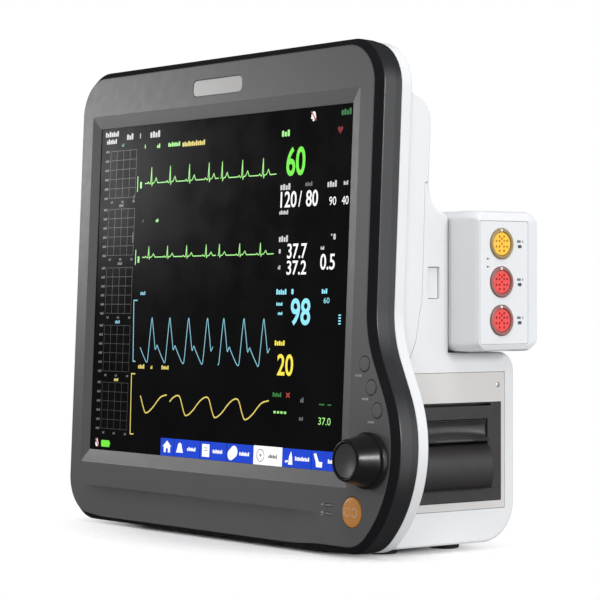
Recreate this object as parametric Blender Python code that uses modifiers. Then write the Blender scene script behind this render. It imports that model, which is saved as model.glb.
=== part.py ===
"""Bedside patient monitor: a leaning front unit with a display, controls and a
flared lower corner, a rear case with a strip-chart recorder in its right side,
a pressure plug-in module behind, patient sockets in its left side, and mains,
battery and data connections at the back.

Lengths are written in millimetres and made metres by the helpers. In the
design's own axes X is to the viewer's right with 0 at the middle of the
screen, Y goes back from the foot of the bezel, and Z goes up from it. The root
empty then puts the world origin at the middle of the footprint, on the surface
that the feet stand on.
"""

from math import cos, pi, radians, sin

import bmesh
import bpy
from mathutils import Vector

MM = 0.001
GAP = 0.3  # between pieces that touch

# ---------------------------------------------------------------- dimensions
SCREEN_W, SCREEN_H = 338.0, 269.3  # visible part of a 17 inch 5:4 panel
SCREEN_FOOT = 58.4  # from the foot of the bezel up to the screen
LEAN = radians(2.57)  # the front unit leans back
FRONT_W, FRONT_H = 400.0, 375.4  # bezel without its flared corner
CORNER_R = 36.0
FLARE_EDGE = 232.0  # right-hand edge of the flared corner
BEZEL_DEEP, RIM_DEEP = 22.4, 32.6
CHAMFER = 5.4
WALL = 3.0
SIDE = 197.0  # half width of the case behind
BACK = 150.0
FLOOR = -3.0  # underside of the feet
CASE_FOOT, LEDGE = 2.5, 144.5  # underside of the case, top of its deep part
EARTH_TIP = 159.0

KNOB, KNOB_R, KNOB_TIP = (206.0, 68.8), 20.5, 24.6
POWER_KEY, POWER_R = (186.1, 30.6), 11.0
KEYS, KEY_R = [(194.9, 137.6), (203.4, 120.9), (210.8, 104.7)], 5.4
BOARD_FACE = -12.0  # front of the key board, from the bezel's face

PLATE_Y, PLATE_Z = (40.0, 140.6), (27.3, 129.8)  # plates in both sides
RECORDER_Y, RECORDER_Z = (50.0, 136.4), (33.6, 107.0)
DOOR_Y = (52.5, 122.3)
DOOR_HINGE = (201.5, 45.0)  # X, Z
LATCH_HINGE = (195.5, 93.8)
PLATEN_AXIS, PLATEN_R = (188.2, 70.0), 4.6
PAPER_AXIS, PAPER_R = (150.0, 66.0), 20.5

MODULE_Y, MODULE_Z, MODULE_FACE = (85.5, 150.0), (145.4, 249.0), 225.0
SOCKET_Y, SOCKET_Z = 111.5, (224.7, 196.6, 168.4)
MODULE_LATCH_Y, MODULE_LATCH_Z = (64.3, 75.6), (184.1, 207.7)

BATTERY_X, BATTERY_Z = (-160.0, -20.0), (36.0, 112.0)
BATTERY_R = 0.7  # corners of the battery window, tight so that the door can swing out
PORTS_X, PORTS_Z = (5.0, 100.0), (38.0, 112.0)
EARTH_AT = (44.0, 58.0)
PLATE_HOLES = 75.0  # square pattern of the mounting plate
FEET = {
    "foot_front_left": (-167, 45.5),
    "foot_front_right": (167, 45.5),
    "foot_rear_left": (-167, 106),
    "foot_rear_right": (167, 106),
}

WHITE = ((0.86, 0.87, 0.88), 0.35, 0)
BEZEL_GREY = ((0.085, 0.085, 0.09), 0.45, 0)
BLACK = ((0.045, 0.045, 0.045), 0.4, 0)
GLOSS_BLACK = ((0.015, 0.015, 0.015), 0.15, 0)
KEY_GREY = ((0.13, 0.13, 0.13), 0.5, 0)
ORANGE = ((0.80, 0.36, 0.06), 0.4, 0)
YELLOW = ((0.95, 0.62, 0.06), 0.4, 0)
RED = ((0.80, 0.06, 0.06), 0.4, 0)
PLATE_GREY = ((0.62, 0.61, 0.59), 0.5, 0)
SHELL_GREY = ((0.45, 0.42, 0.37), 0.35, 0)
LAMP_GREY = ((0.55, 0.55, 0.53), 0.3, 0)
STEEL = ((0.62, 0.62, 0.63), 0.3, 1)
BOARD_GREEN = ((0.03, 0.2, 0.08), 0.5, 0)
RUBBER = ((0.04, 0.05, 0.06), 0.8, 0)
PAPER = ((0.9, 0.9, 0.87), 0.9, 0)
BRASS = ((0.78, 0.62, 0.30), 0.3, 1)

# ---------------------------------------------------------------- scene
for old in list(bpy.data.objects):
    bpy.data.objects.remove(old)
parts = bpy.data.collections.new("patient_monitor")
cutters = bpy.data.collections.new("cutters")
bpy.context.scene.collection.children.link(parts)
bpy.context.scene.collection.children.link(cutters)


def axes(name, parent=None, at=(0, 0, 0), turn=(0, 0, 0)):
    empty = bpy.data.objects.new(name, None)
    empty.parent = parent
    empty.location = Vector(at) * MM
    empty.rotation_euler = turn
    parts.objects.link(empty)
    return empty


# the knob's rim is the most forward point, a little lower than its axis
knob_front = (KNOB[1] - 13.4) * sin(LEAN) - KNOB_TIP * cos(LEAN)
middle = Vector(((FLARE_EDGE - FRONT_W / 2) / 2, (EARTH_TIP + knob_front) / 2, FLOOR))
base = axes("base_axes", at=-middle)  # design axes
front = axes("front_axes", base, turn=(pi / 2 - LEAN, 0, 0))  # u, v, outwards
side = axes("side_axes", base, turn=(pi / 2, 0, pi / 2))  # Y, Z, then X
back = axes("back_axes", base, turn=(pi / 2, 0, 0))  # X, Z, then -Y


# ---------------------------------------------------------------- helpers
def place(name, mesh, frame, at=(0, 0, 0)):
    obj = bpy.data.objects.new(name, mesh)
    obj.parent = frame
    obj.location = Vector(at) * MM
    parts.objects.link(obj)
    return obj


def mesh_from(work, name):
    mesh = bpy.data.meshes.new(name)
    work.to_mesh(mesh)
    work.free()
    return mesh


def block(name, x, y, z, frame=base):
    """A box from (low, high) pairs."""
    work = bmesh.new()
    bmesh.ops.create_cube(work, size=1)
    sizes = [(high - low) * MM for low, high in (x, y, z)]
    bmesh.ops.scale(work, vec=sizes, verts=work.verts)
    centre = [(low + high) / 2 for low, high in (x, y, z)]
    return place(name, mesh_from(work, name), frame, centre)


def cylinder(name, r, low, high, frame, at=(0, 0), sides=24):
    work = bmesh.new()
    bmesh.ops.create_cone(
        work,
        cap_ends=True,
        segments=sides,
        radius1=r * MM,
        radius2=r * MM,
        depth=(high - low) * MM,
    )
    return place(name, mesh_from(work, name), frame, (*at, (low + high) / 2))


def outline(name, points, low, high, frame):
    """A flat outline, as a filled 2D curve, given thickness from low to high."""
    curve = bpy.data.curves.new(name, "CURVE")
    curve.dimensions = "2D"
    curve.fill_mode = "BOTH"
    curve.extrude = abs(high - low) / 2 * MM
    spline = curve.splines.new("POLY")
    spline.points.add(len(points) - 1)
    for point, (s, t) in zip(spline.points, points):
        point.co = (s * MM, t * MM, 0, 1)
    spline.use_cyclic_u = True
    guide = bpy.data.objects.new(name, curve)
    parts.objects.link(guide)
    graph = bpy.context.evaluated_depsgraph_get()
    mesh = bpy.data.meshes.new_from_object(guide.evaluated_get(graph))
    bpy.data.objects.remove(guide)
    work = bmesh.new()
    work.from_mesh(mesh)
    bmesh.ops.remove_doubles(work, verts=work.verts, dist=1e-6)
    bmesh.ops.recalc_face_normals(work, faces=work.faces)
    return place(name, mesh_from(work, name), frame, (0, 0, (low + high) / 2))


def turned(name, profile, frame, at=(0, 0), sides=24):
    """A (radius, height) profile turned about the frame's third axis. A
    profile whose ends are off the axis is closed into a ring."""
    area = sum(
        a[0] * b[1] - b[0] * a[1] for a, b in zip(profile, profile[1:] + profile[:1])
    )
    if area > 0:
        profile = profile[::-1]
    work = bmesh.new()
    points = [work.verts.new((r * MM, 0, h * MM)) for r, h in profile]
    for a, b in zip(points, points[1:]):
        work.edges.new((a, b))
    if profile[0][0] > 0:
        work.edges.new((points[-1], points[0]))
    obj = place(name, mesh_from(work, name), frame, (*at, 0))
    screw = obj.modifiers.new("turn", "SCREW")
    screw.steps = screw.render_steps = sides
    screw.use_merge_vertices = True
    screw.merge_threshold = 1e-6
    return obj


def loft(name, layers, frame):
    """Skins sections that differ: (outline, height) pairs of equal counts."""
    n = len(layers[0][0])
    work = bmesh.new()
    rings = [
        [work.verts.new((s * MM, t * MM, h * MM)) for s, t in points]
        for points, h in layers
    ]
    work.faces.new(rings[0])
    work.faces.new(rings[-1])
    for low, high in zip(rings, rings[1:]):
        for i in range(n):
            j = (i + 1) % n
            work.faces.new((low[i], low[j], high[j], high[i]))
    bmesh.ops.recalc_face_normals(work, faces=work.faces)
    return place(name, mesh_from(work, name), frame)


def boolean(body, tools, how):
    for tool in tools:
        modifier = body.modifiers.new(how.lower(), "BOOLEAN")
        modifier.object = tool
        modifier.operation = how
        tool.name = "tool_for_" + body.name
        tool.hide_render = True
        tool.display_type = "WIRE"
        parts.objects.unlink(tool)
        cutters.objects.link(tool)
    return body


def cut(body, *tools):
    return boolean(body, tools, "DIFFERENCE")


def join(body, *tools):
    return boolean(body, tools, "UNION")


def pivot(obj, at):
    """Moves the object's origin to a point of its frame, its shape staying."""
    shift = Vector(at) * MM - obj.location
    for vertex in obj.data.vertices:
        vertex.co -= shift
    obj.location += shift
    return obj


def arc(cx, cy, r, start, end, n):
    turn = [radians(start + (end - start) * i / n) for i in range(n + 1)]
    return [(cx + r * cos(a), cy + r * sin(a)) for a in turn]


def rounded(x, y, r=2.0, n=3):
    """A rectangle from (low, high) pairs with rounded corners."""
    return (
        arc(x[1] - r, y[0] + r, r, -90, 0, n)
        + arc(x[1] - r, y[1] - r, r, 0, 90, n)
        + arc(x[0] + r, y[1] - r, r, 90, 180, n)
        + arc(x[0] + r, y[0] + r, r, 180, 270, n)
    )


def around(u, v, width, height):
    return (u - width / 2, u + width / 2), (v - height / 2, v + height / 2)


def grown(span, d):
    return (span[0] - d, span[1] + d)


def inset(points, d):
    """A counter-clockwise outline moved inwards by d with mitred corners."""
    moved = []
    for i, point in enumerate(points):
        here = Vector(point)
        before = (here - Vector(points[i - 1])).normalized()
        after = (Vector(points[(i + 1) % len(points)]) - here).normalized()
        m, n = Vector((-before.y, before.x)), Vector((-after.y, after.x))
        moved.append(tuple(here + d * (m + n) / (1 + m.dot(n))))
    return moved


def front_outline(d=0.0):
    """The front unit's outline, moved inwards by d: straight left side and
    top, and a right side that swings out into the flared lower corner."""
    x, y = FRONT_W / 2 - CORNER_R, FRONT_H - CORNER_R
    return (
        arc(181, 34, 34 - d, -90, -45, 3)
        + arc(FLARE_EDGE - 92, 75, 92 - d, -45, 27.8, 8)[1:]
        + arc(280, 178.3, 80 + d, 207.8, 180, 4)
        + arc(x, y, CORNER_R - d, 0, 90, 6)
        + arc(-x, y, CORNER_R - d, 90, 180, 6)
        + arc(-x, CORNER_R, CORNER_R - d, 180, 270, 6)
    )


def behind(v, w):
    """(Y, Z) of a point of the leaning front."""
    return (v * sin(LEAN) - w * cos(LEAN), v * cos(LEAN) + w * sin(LEAN))


# ---------------------------------------------------------------- front unit
def front_bezel():
    bezel = loft(
        "front_bezel",
        [
            (front_outline(CHAMFER), 0),
            (front_outline(0.4), 0.4 - CHAMFER),
            (front_outline(), -0.6 - CHAMFER),
            (front_outline(), -15.5),
            (front_outline(0.8), -BEZEL_DEEP),
        ],
        front,
    )
    x = (-SCREEN_W / 2, SCREEN_W / 2)
    y = (SCREEN_FOOT, SCREEN_FOOT + SCREEN_H)
    cut(
        bezel,
        loft(
            "hollow",
            [
                (front_outline(7.2), -3.4),
                (front_outline(WALL + 0.2), -7.4),
                (front_outline(WALL + 0.2), -BEZEL_DEEP - 2),
            ],
            front,
        ),
        loft(
            "screen_bevel",
            [
                (rounded(grown(x, 10.4), grown(y, 10.9), 4), 0.6),
                (rounded(x, y), -2.1),
                (rounded(x, y), -3),
            ],
            front,
        ),
        outline("glass_seat", rounded((-174.4, 174.4), (53.6, 332.4)), -9, -2.4, front),
        outline("lamp_window", rounded((-33.3, 33.3), (345.2, 358.8), 5), -6, 1, front),
        cylinder("power_hole", POWER_R + 0.4, -6, 1, front, POWER_KEY, 28),
        cylinder("knob_hole", 5.2, -6, 1, front, KNOB, 20),
        *[cylinder("key_hole", KEY_R + 0.4, -6, 1, front, at, 20) for at in KEYS],
        *[
            outline("light_slot", rounded(*around(159.5, v, 9, 2.4), 1), -6, 1, front)
            for v in (34.0, 27.9)
        ],
    )
    tuck = [(6, 1), (28.2, 1), (28.0, -1.3), (8, -0.1)]
    fade = [(6, 1), (28.2, 1), (28.2, -0.05), (8, -0.05)]
    along = axes("tuck_axes", front, turn=(pi / 2, 0, pi / 2))  # v, w, then u
    ends = [(fade, -170), (tuck, -146), (tuck, 118), (fade, 148)]
    cut(bezel, loft("tuck_under_crease", ends, along))
    return bezel


def display():
    outline("screen_glass", rounded((-174, 174), (54, 332)), -4.5, -2.7, front)
    outline("lcd_panel", rounded((-171, 171), (56.5, 329.5), 1), -15, -4.8, front)
    sheet = rounded((-178, 178), (50, 336), 3)
    bracket = outline("lcd_bracket", sheet, -16.8, -15.3, front)
    for x in ((-150, -8), (8, 150)):
        cut(bracket, outline("window", rounded(x, (75, 311), 6), -18, -14, front))


def alarm_lamp():
    lens = outline("alarm_lamp_lens", rounded((-33, 33), (345.5, 358.5), 4.7), -5, -0.5, front)
    join(lens, outline("lens_flange", rounded((-36, 36), (342.6, 361.4), 3), -5.6, -3.8, front))
    board = block("alarm_lamp_board", (-38, 38), (343, 361), (-10.6, -9.0), front)
    for u in (-24, -8, 8, 24):
        join(board, block("lamp", (u - 2.5, u + 2.5), (349, 354), (-9.5, -7.2), front))


def keys():
    for i, at in enumerate(KEYS, 1):
        cap = [(0, 0.45), (4.9, 0.45), (KEY_R, 0), (KEY_R, -3.8)]
        flange = [(6.8, -3.8), (6.8, -5.4), (0, -5.4)]
        turned(f"function_button_{i}", cap + flange, front, at, 20)
    cap = [(0, 1.1), (8, 0.95), (10.4, 0.5), (POWER_R, -0.2), (POWER_R, -3.8)]
    flange = [(12.4, -3.8), (12.4, -5.4), (0, -5.4)]
    turned("power_button", cap + flange, front, POWER_KEY, 28)
    guide = outline("status_light_guide", rounded((152, 167), (24, 38), 1), -5.6, -3.8, front)
    for v in (34.0, 27.9):
        bar = rounded(*around(159.5, v, 8.2, 1.6), 0.7)
        join(guide, outline("window", bar, -4.5, 0.1, front))


def key_board():
    edge = [
        (150, 18), (196, 18), (219, 50), (221, 84), (213, 104), (196, 146),
        (184, 146), (184, 92), (184, 48), (150, 48),
    ]  # fmt: skip
    board = outline("key_board", edge, BOARD_FACE - 1.6, BOARD_FACE, front)
    for u, v in KEYS + [POWER_KEY]:
        join(board, block("switch", *around(u, v, 6, 6), (BOARD_FACE - 0.5, -6.6), front))
    join(board, block("lamps", (157, 162), (26, 36), (BOARD_FACE - 0.5, -9.6), front))


def knob():
    encoder = block("encoder_body", *around(*KNOB, 13, 13), (BOARD_FACE + GAP, -5), front)
    join(encoder, cylinder("bush", 4.6, -6, -0.8, front, KNOB, 20))
    cut(encoder, cylinder("bore", 3.15, -9.5, 0, front, KNOB, 16))
    cylinder("encoder_plunger", 2.8, -8.0, -6.2, front, KNOB, 16)
    cylinder("knob_shaft", 2.85, -5.9, 13.5, front, KNOB, 16)
    collar = [(3.15, 1.2), (19.6, 1.2), (KNOB_R, 2), (KNOB_R, 5.6), (19.9, 6.6)]
    cone = [(18.7, 7.2), (14.95, 23.6), (14.3, 24.5), (13.4, KNOB_TIP), (12.6, 24.1)]
    seat = [(12.6, 20.6), (9, 19), (3.15, 19)]
    turned("navigation_knob", collar + cone + seat, front, KNOB, 32)
    dish = [(0, 19.4), (8.9, 19.4), (12.3, 20.9), (12.3, 23.7), (8, 22.4), (4, 21.8), (0, 21.6)]
    turned("knob_cap", dish, front, KNOB, 32)


# ---------------------------------------------------------------- case
SEAM = [  # (Y, Z) of the joint between the two housings, top to bottom
    (61.4, 269.3), (60.0, 225.0), (58.3, 182.0), (55.6, 171.7),
    (54.4, 163.0), (52.7, 154.2), (48.9, 145.5), (46.6, 140.3),
]  # fmt: skip
SHOULDER = (47.5, 314.2, 20.2)  # centre and radius of the upper back corner


def front_housing():
    upper = (
        [behind(139.5, -29.5)]
        + SEAM[::-1]
        + [(65.9, 269.3), (66.9, 289.7), (67.7, 310)]
        + arc(*SHOULDER, -6, 78, 5)
        + [behind(338.5, -29.5)]
    )
    y, z, r = SHOULDER
    upper_hollow = (
        [behind(144, -27.5), (64.4, 141), (64.4, 266.3), (63, 268), (63.9, 289.7), (64.7, 309.6)]
        + arc(y, z, r - WALL, -6, 78, 5)
        + [behind(336, -27.5)]
    )
    lower_hollow = [behind(7.5, -26), behind(7.5, -36), behind(142, -36), behind(142, -26)]
    housing = loft(
        "front_housing",
        [
            (front_outline(0.7), -BEZEL_DEEP - GAP),
            (front_outline(0.7), 1.6 - RIM_DEEP),
            (front_outline(2.4), -RIM_DEEP),
        ],
        front,
    )
    edge = [(inset(upper, 2), -SIDE), (upper, 2 - SIDE), (upper, SIDE - 2), (inset(upper, 2), SIDE)]
    join(housing, loft("upper_back", edge, side))
    cut(
        housing,
        outline("rim_hollow", front_outline(WALL + 0.6), WALL - RIM_DEEP, -20, front),
        outline("upper_hollow", upper_hollow, WALL - SIDE, SIDE - WALL, side),
        outline("lower_hollow", lower_hollow, WALL - SIDE, SIDE - WALL, side),
    )


def rear_housing():
    top, foot = LEDGE - 14, CASE_FOOT + 30
    fall = [
        (66.3, 266.0), (67.3, 260.0), (69.6, 254.2), (73.4, 250.2),
        (78.0, 248.3), (82.8, 246.6), (84.6, 244.2), (85.0, 241.0),
    ]  # fmt: skip
    profile = (
        [(SEAM[0][0] + GAP, 269), (66, 269)]
        + fall
        + [(85, LEDGE)]
        + arc(BACK - 14, top, 14, 90, 0, 4)
        + arc(BACK - 30, foot, 30, 0, -90, 7)
        + [behind(CASE_FOOT + 1.4, -RIM_DEEP - GAP), behind(139, -RIM_DEEP - GAP)]
        + [(y + GAP, z - 0.4) for y, z in SEAM[:0:-1]]
    )[::-1]
    hollow = (
        [(20, CASE_FOOT + WALL), (20, 140.3), (40, 141), (50, 160), (50, 280), (58, 280)]
        + [(63.4, 266), (64.4, 259), (67, 252.4), (71.8, 247.6), (77.2, 245.4), (82, 242.4)]
        + [(82, LEDGE - WALL)]
        + arc(BACK - 14, top, 14 - WALL, 90, 0, 4)
        + arc(BACK - 30, foot, 30 - WALL, 0, -90, 7)
    )
    ends = [(2.2, SIDE), (0.6, SIDE - 0.7), (0, SIDE - 2.4)]
    layers = [(inset(profile, d), -x) for d, x in ends]
    layers += [(inset(profile, d), x) for d, x in ends[::-1]]
    housing = loft("rear_housing", layers, side)
    cut(housing, outline("hollow", hollow, WALL - SIDE, SIDE - WALL, side))
    through = rounded((46, 138.2), (31, 126))
    for x in (-SIDE, SIDE):
        seat = rounded(PLATE_Y, PLATE_Z, 1)
        cut(housing, outline("plate_seat", seat, x - 2, x + 2, side))
        cut(housing, outline("side_window", through, x - 6, x + 6, side))
    latch = rounded(MODULE_LATCH_Y, MODULE_LATCH_Z, 1.2)
    cut(
        housing,
        outline("latch_slot", latch, SIDE - 6, SIDE + 2, side),
        outline("battery_window", rounded(BATTERY_X, BATTERY_Z, BATTERY_R), -BACK - 2, 5 - BACK, back),
        outline("ports_window", rounded(PORTS_X, PORTS_Z), -BACK - 2, 5 - BACK, back),
        outline("module_link", rounded((66, 90), (160, 235)), -90, -80, back),
        *[
            outline("speaker_slot", rounded((-150, -90), (z, z + 3), 1.4), -90, -80, back)
            for z in range(180, 215, 7)
        ],
        *[
            outline("vent_slot", rounded((x, x + 3.2), (155, 195), 1.5), -90, -80, back)
            for x in range(-60, -19, 8)
        ],
    )


# ---------------------------------------------------------------- recorder
def side_plate(name, low, high):
    edge = rounded(grown(PLATE_Y, -GAP), grown(PLATE_Z, -GAP), 0.8)
    return outline(name, edge, low, high, side)


def recorder():
    plate = side_plate("recorder_plate", SIDE - 1.7, SIDE)
    screw_at = (133.4, 119.9)
    window = rounded(grown(RECORDER_Y, GAP), grown(RECORDER_Z, GAP), 0.5)
    cut(
        plate,
        outline("recorder_window", window, SIDE - 5, SIDE + 2, side),
        cylinder("screw_hole", 2, SIDE - 5, SIDE + 2, side, screw_at, 16),
    )
    shank = [(0, SIDE - 3.5), (1.1, SIDE - 3.5), (1.1, SIDE - 1), (1.7, SIDE - 1)]
    head = [(1.7, SIDE - 0.3), (0.8, SIDE - 0.3), (0.8, SIDE - 0.9), (0, SIDE - 0.9)]
    turned("recorder_plate_screw", shank + head, side, screw_at, 16)

    frame = block("recorder_frame", RECORDER_Y, RECORDER_Z, (118, SIDE + 0.3), side)
    cut(
        frame,
        block("paper_bay", (52, 122.8), (43, 95), (121, SIDE + 3), side),
        block("gear_bay", (125, 134.4), (38, 96), (116, 190), side),
        block("top_slot", (52, 126), (104.6, 106), (SIDE - 6, SIDE + 3), side),
    )

    y0, y1 = DOOR_Y
    bulge = [(202.6, 43.3), (204.5, 50), (205.2, 57), (204.8, 63), (203.2, 69.4), (200.4, 74)]
    skin = [(194, 43.3)] + bulge + [(197, 76.9), (194, 76.9)]
    pocket = [
        (193, 46), (200.4, 46), (202, 50.4), (202.7, 57), (202.3, 62.4),
        (200.9, 68), (198.6, 71.9), (197, 73.6), (193, 73.6),
    ]  # fmt: skip
    door = outline("recorder_door", skin, -y1, -y0, back)
    pivot(door, (*DOOR_HINGE, -(y0 + y1) / 2))
    cut(door, outline("door_pocket", pocket, -y1 + 2.5, -y0 - 2.5, back))

    lip = [(186, 78), (199, 78), (200.2, 79), (199.6, 80.2), (195.2, 81.3)]
    scoop = [(191.4, 83.4), (190, 86.6), (190.6, 90.2), (193.2, 92.8), (196.4, 94.3)]
    latch = outline("recorder_latch", lip + scoop + [(187.5, 94.3), (186, 92.4)], -121, -y0, back)
    pivot(latch, (*LATCH_HINGE, -(121 + y0) / 2))

    journal = 1.6
    half = [(0, -121), (journal, -121), (journal, -116), (PLATEN_R, -116)]
    other = [(PLATEN_R, -58), (journal, -58), (journal, -54), (0, -54)]
    turned("platen_roller", half + other, back, PLATEN_AXIS, 20)
    sink = [(176, 56), (180, 56), (180, 66), (183, 66), (183, 72), (180, 74), (180, 92), (176, 92)]
    outline("print_head", sink, -117, -57, back)
    tube = [(6, -115.5), (PAPER_R, -115.5), (PAPER_R, -58.5), (6, -58.5)]
    turned("paper_roll", tube, back, PAPER_AXIS, 28)


# ---------------------------------------------------------------- module
def module_rack():
    rack = block("module_rack", (60, SIDE - 0.2), (MODULE_Y[0], BACK), MODULE_Z)
    cut(
        rack,
        block("bay", (63, SIDE + 2), (88.5, 146.5), (149, 245.2)),
        block("link", (66, 90), (80, 90), (160, 235)),
    )


def plug_in_module():
    rim = rounded(MODULE_Y, MODULE_Z, 4)
    flat = rounded(grown(MODULE_Y, -6.4), grown(MODULE_Z, -6.4), 1)
    steps = [(0, -27.8), (0, -8.5), (0.9, -4.8), (2.4, -2.2), (3.9, -0.6)]
    layers = [(inset(rim, d), MODULE_FACE + x) for d, x in steps]
    module = loft("module_housing", layers + [(flat, MODULE_FACE)], side)
    join(module, block("body", (90, 201), (89, 146), (149.5, 244.7)))
    label = grown(MODULE_Y, -7), grown(MODULE_Z, -7)
    cut(
        module,
        block("hollow", (88, MODULE_FACE - 6), (91.5, 143.5), (152, 242.2)),
        block("label_seat", (MODULE_FACE - 1, MODULE_FACE + 2), *label),
    )
    inner = [grown(span, -GAP) for span in label]
    face = block("module_face", (MODULE_FACE - 0.7, MODULE_FACE + 0.1), *inner)
    for i, z in enumerate(SOCKET_Z, 1):
        at, x = (SOCKET_Y, z), MODULE_FACE
        cut(module, cylinder("socket_hole", 9.2, x - 8, x + 2, side, at, 28))
        cut(face, cylinder("socket_hole", 11.7, x - 3, x + 2, side, at, 28))
        bore = [(8.85, x - 4), (8.85, x + 1.2), (10.6, x + 1.2)]
        flange = [(11.4, x + 0.5), (11.4, x - 0.7), (9.1, x - 0.7), (9.1, x - 4)]
        turned(f"socket_ring_{i}", bore + flange, side, at, 28)
        socket_insert(f"socket_insert_{i}", at)


def socket_insert(name, at):
    """Twelve contact holes, three inside nine, and a key notch on top."""
    x = MODULE_FACE
    insert = cylinder(name, 8.5, x - 9, x - 1.6, side, at, 28)
    ring = [(2.1, 90 + 120 * i) for i in range(3)] + [(5.4, 40 * i) for i in range(9)]
    for r, turn in ring:
        spot = (at[0] + r * cos(radians(turn)), at[1] + r * sin(radians(turn)))
        cut(insert, cylinder("contact", 0.6, x - 4, x, side, spot, 6))
    notch = (at[0] - 1.2, at[0] + 1.2), (at[1] + 7, at[1] + 10)
    cut(insert, block("notch", *notch, (x - 4, x), side))


def module_inside():
    board = block("module_board", (98, 212), (132, 133.6), (155, 239))
    join(
        board,
        block("shield", (120, 150), (128, 132.5), (180, 210)),
        block("isolator", (165, 185), (126, 132.5), (165, 185)),
        block("plug", (92, 100), (126, 133.6), (175, 220)),
    )
    y, z = grown(MODULE_LATCH_Y, -0.4), grown(MODULE_LATCH_Z, -0.4)
    block("module_release_latch", (SIDE - 9, SIDE - 1.8), y, z)


# ---------------------------------------------------------------- inside
def boards():
    board = block("main_board", (-140, 110), (160, 320), (-23.6, -22), front)
    for u, v, deep in (
        ((-60, -10), (210, 260), -31),
        ((20, 60), (180, 200), -28),
        ((30, 80), (240, 290), -27),
        ((-130, -100), (270, 300), -29),
    ):
        join(board, block("chip", u, v, (deep, -23), front))
    board = block("parameter_board", (-168, -166.4), (48, 140), (22, 134))
    join(board, block("shield", (-167, -156), (60, 100), (70, 110)))
    join(board, block("isolator", (-167, -159), (108, 132), (34, 60)))


def power():
    supply = block("power_supply", (-12, 100), (52, 112), (14, 126))
    cut(supply, block("hollow", (-10.5, 98.5), (53.5, 110.5), (15.5, 124.5)))
    for x in range(5, 80, 12):
        cut(supply, block("vent", (x, x + 3), (48, 56), (30, 110)))
    block("battery_pack", (-155, -25), (122, 145.5), (40, 108))
    edge = rounded(grown(BATTERY_X, -GAP), grown(BATTERY_Z, -GAP), BATTERY_R - GAP)
    door = outline("battery_door", edge, 0.2 - BACK, 2.4 - BACK, back)
    pivot(door, (sum(BATTERY_X) / 2, BATTERY_Z[0] + 1, 0.7 - BACK))


def speaker_and_pump():
    cone = [(0, -81.4), (28, -81.4), (28, -79), (24, -77), (14, -66), (14, -60), (0, -60)]
    turned("speaker", cone, back, (-120, 195.5))
    barrel = [(0, -150), (14, -150), (14, -108), (11, -106), (11, -92), (0, -92)]
    pump = turned("nibp_pump", barrel, side, (84, 40), 20)
    join(pump, block("valves", (-146, -112), (72, 96), (52, 66)))


# ---------------------------------------------------------------- left side
def patient_sockets():
    panel = side_plate("patient_panel", 0.2 - SIDE, 1.7 - SIDE)
    x = -SIDE
    for name, y, z, r in (
        ("ecg_socket", 64, 103, 9.5),
        ("spo2_socket", 64, 54, 8.5),
        ("temp_socket_1", 96, 106, 6.0),
        ("temp_socket_2", 122, 106, 6.0),
        ("nibp_port", 108, 60, 9.0),
    ):
        cut(panel, cylinder("socket_hole", r + GAP, x - 3, x + 5, side, (y, z)))
        if name == "nibp_port":
            flange = [(2.2, x - 1.6), (r - 2.5, x - 1.6), (r, x - 0.4), (r, x + 12)]
            tail = [(4.5, x + 12), (4.5, x + 20), (2.2, x + 20)]
            turned(name, flange + tail, side, (y, z))
            continue
        mouth = [(0, x + 1), (r - 2, x + 1), (r - 2, x - 1.6), (r - 0.6, x - 1.6)]
        barrel = [(r, x - 1), (r, x + 18), (0, x + 18)]
        socket = turned(name, mouth + barrel, side, (y, z))
        if name.startswith("temp"):
            cut(socket, cylinder("jack", 1.9, x - 3, x + 9, side, (y, z), 12))
            continue
        for i in range(6):
            spot = (y + 3.6 * cos(pi / 3 * i), z + 3.6 * sin(pi / 3 * i))
            cut(socket, cylinder("contact", 0.7, x - 3, x + 4, side, spot, 6))


# ---------------------------------------------------------------- back
def rear_ports():
    edge = rounded(grown(PORTS_X, -GAP), grown(PORTS_Z, -GAP), 1.7)
    panel = outline("port_panel", edge, 0.2 - BACK, 2.4 - BACK, back)
    deep = (-BACK - 2, 5 - BACK)
    inlet_at = ((63, 91), (48, 68))
    sockets = [((16, 32), (84, 98)), ((42, 55), (85, 91)), ((42, 55), (94, 100))]
    cut(
        panel,
        cylinder("earth_hole", 3.4, *deep, back, EARTH_AT, 16),
        outline("inlet_hole", rounded(*[grown(s, GAP) for s in inlet_at]), *deep, back),
        *[block("socket_hole", *span, deep, back) for span in sockets],
    )
    board = block("io_board", (8, 60), (126, 127.6), (78, 108))
    for x, z in sockets:
        shell = grown(x, -GAP), (127, 148.6), grown(z, -GAP)
        join(board, block("shell", *shell))
        cut(board, block("mouth", grown(x, -1.8), (145.4, 150), grown(z, -1.4)))
    inlet = outline("mains_inlet", rounded(*inlet_at), 0.2 - BACK, 22 - BACK, back)
    mouth = [(65, 50), (89, 50), (89, 63), (86, 66), (68, 66), (65, 63)]
    cut(inlet, outline("mouth", mouth, -BACK - 1, 16 - BACK, back))
    for x, z in ((70, 56), (84, 56), (77, 60.5)):
        join(inlet, block("blade", (x - 1, x + 1), (BACK - 17, BACK - 7), (z - 2, z + 2)))

    x = -BACK
    shank = [(0, x + 12), (3, x + 12), (3, x - 0.2), (5, x - 0.2), (5, x - 2.2), (3, x - 2.2)]
    tip = [(3, 0.6 - EARTH_TIP), (2.4, -EARTH_TIP), (0, -EARTH_TIP)]
    turned("earth_stud", shank + tip, back, EARTH_AT, 16)


# ---------------------------------------------------------------- underneath
def underneath():
    plate = block("mounting_plate", (-47.5, 47.5), (35, 119), (0.2, 2.2))
    half = PLATE_HOLES / 2
    for x in (-half, half):
        for y in (77 - half, 77 + half):
            cut(plate, cylinder("hole", 2.25, -3, 5, base, (x, y), 20))
    top = CASE_FOOT - GAP
    pad = [(0, FLOOR), (10.6, FLOOR), (11.4, FLOOR + 0.8), (11.4, top), (0, top)]
    for name, at in FEET.items():
        turned(name, pad, base, at)


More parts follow.
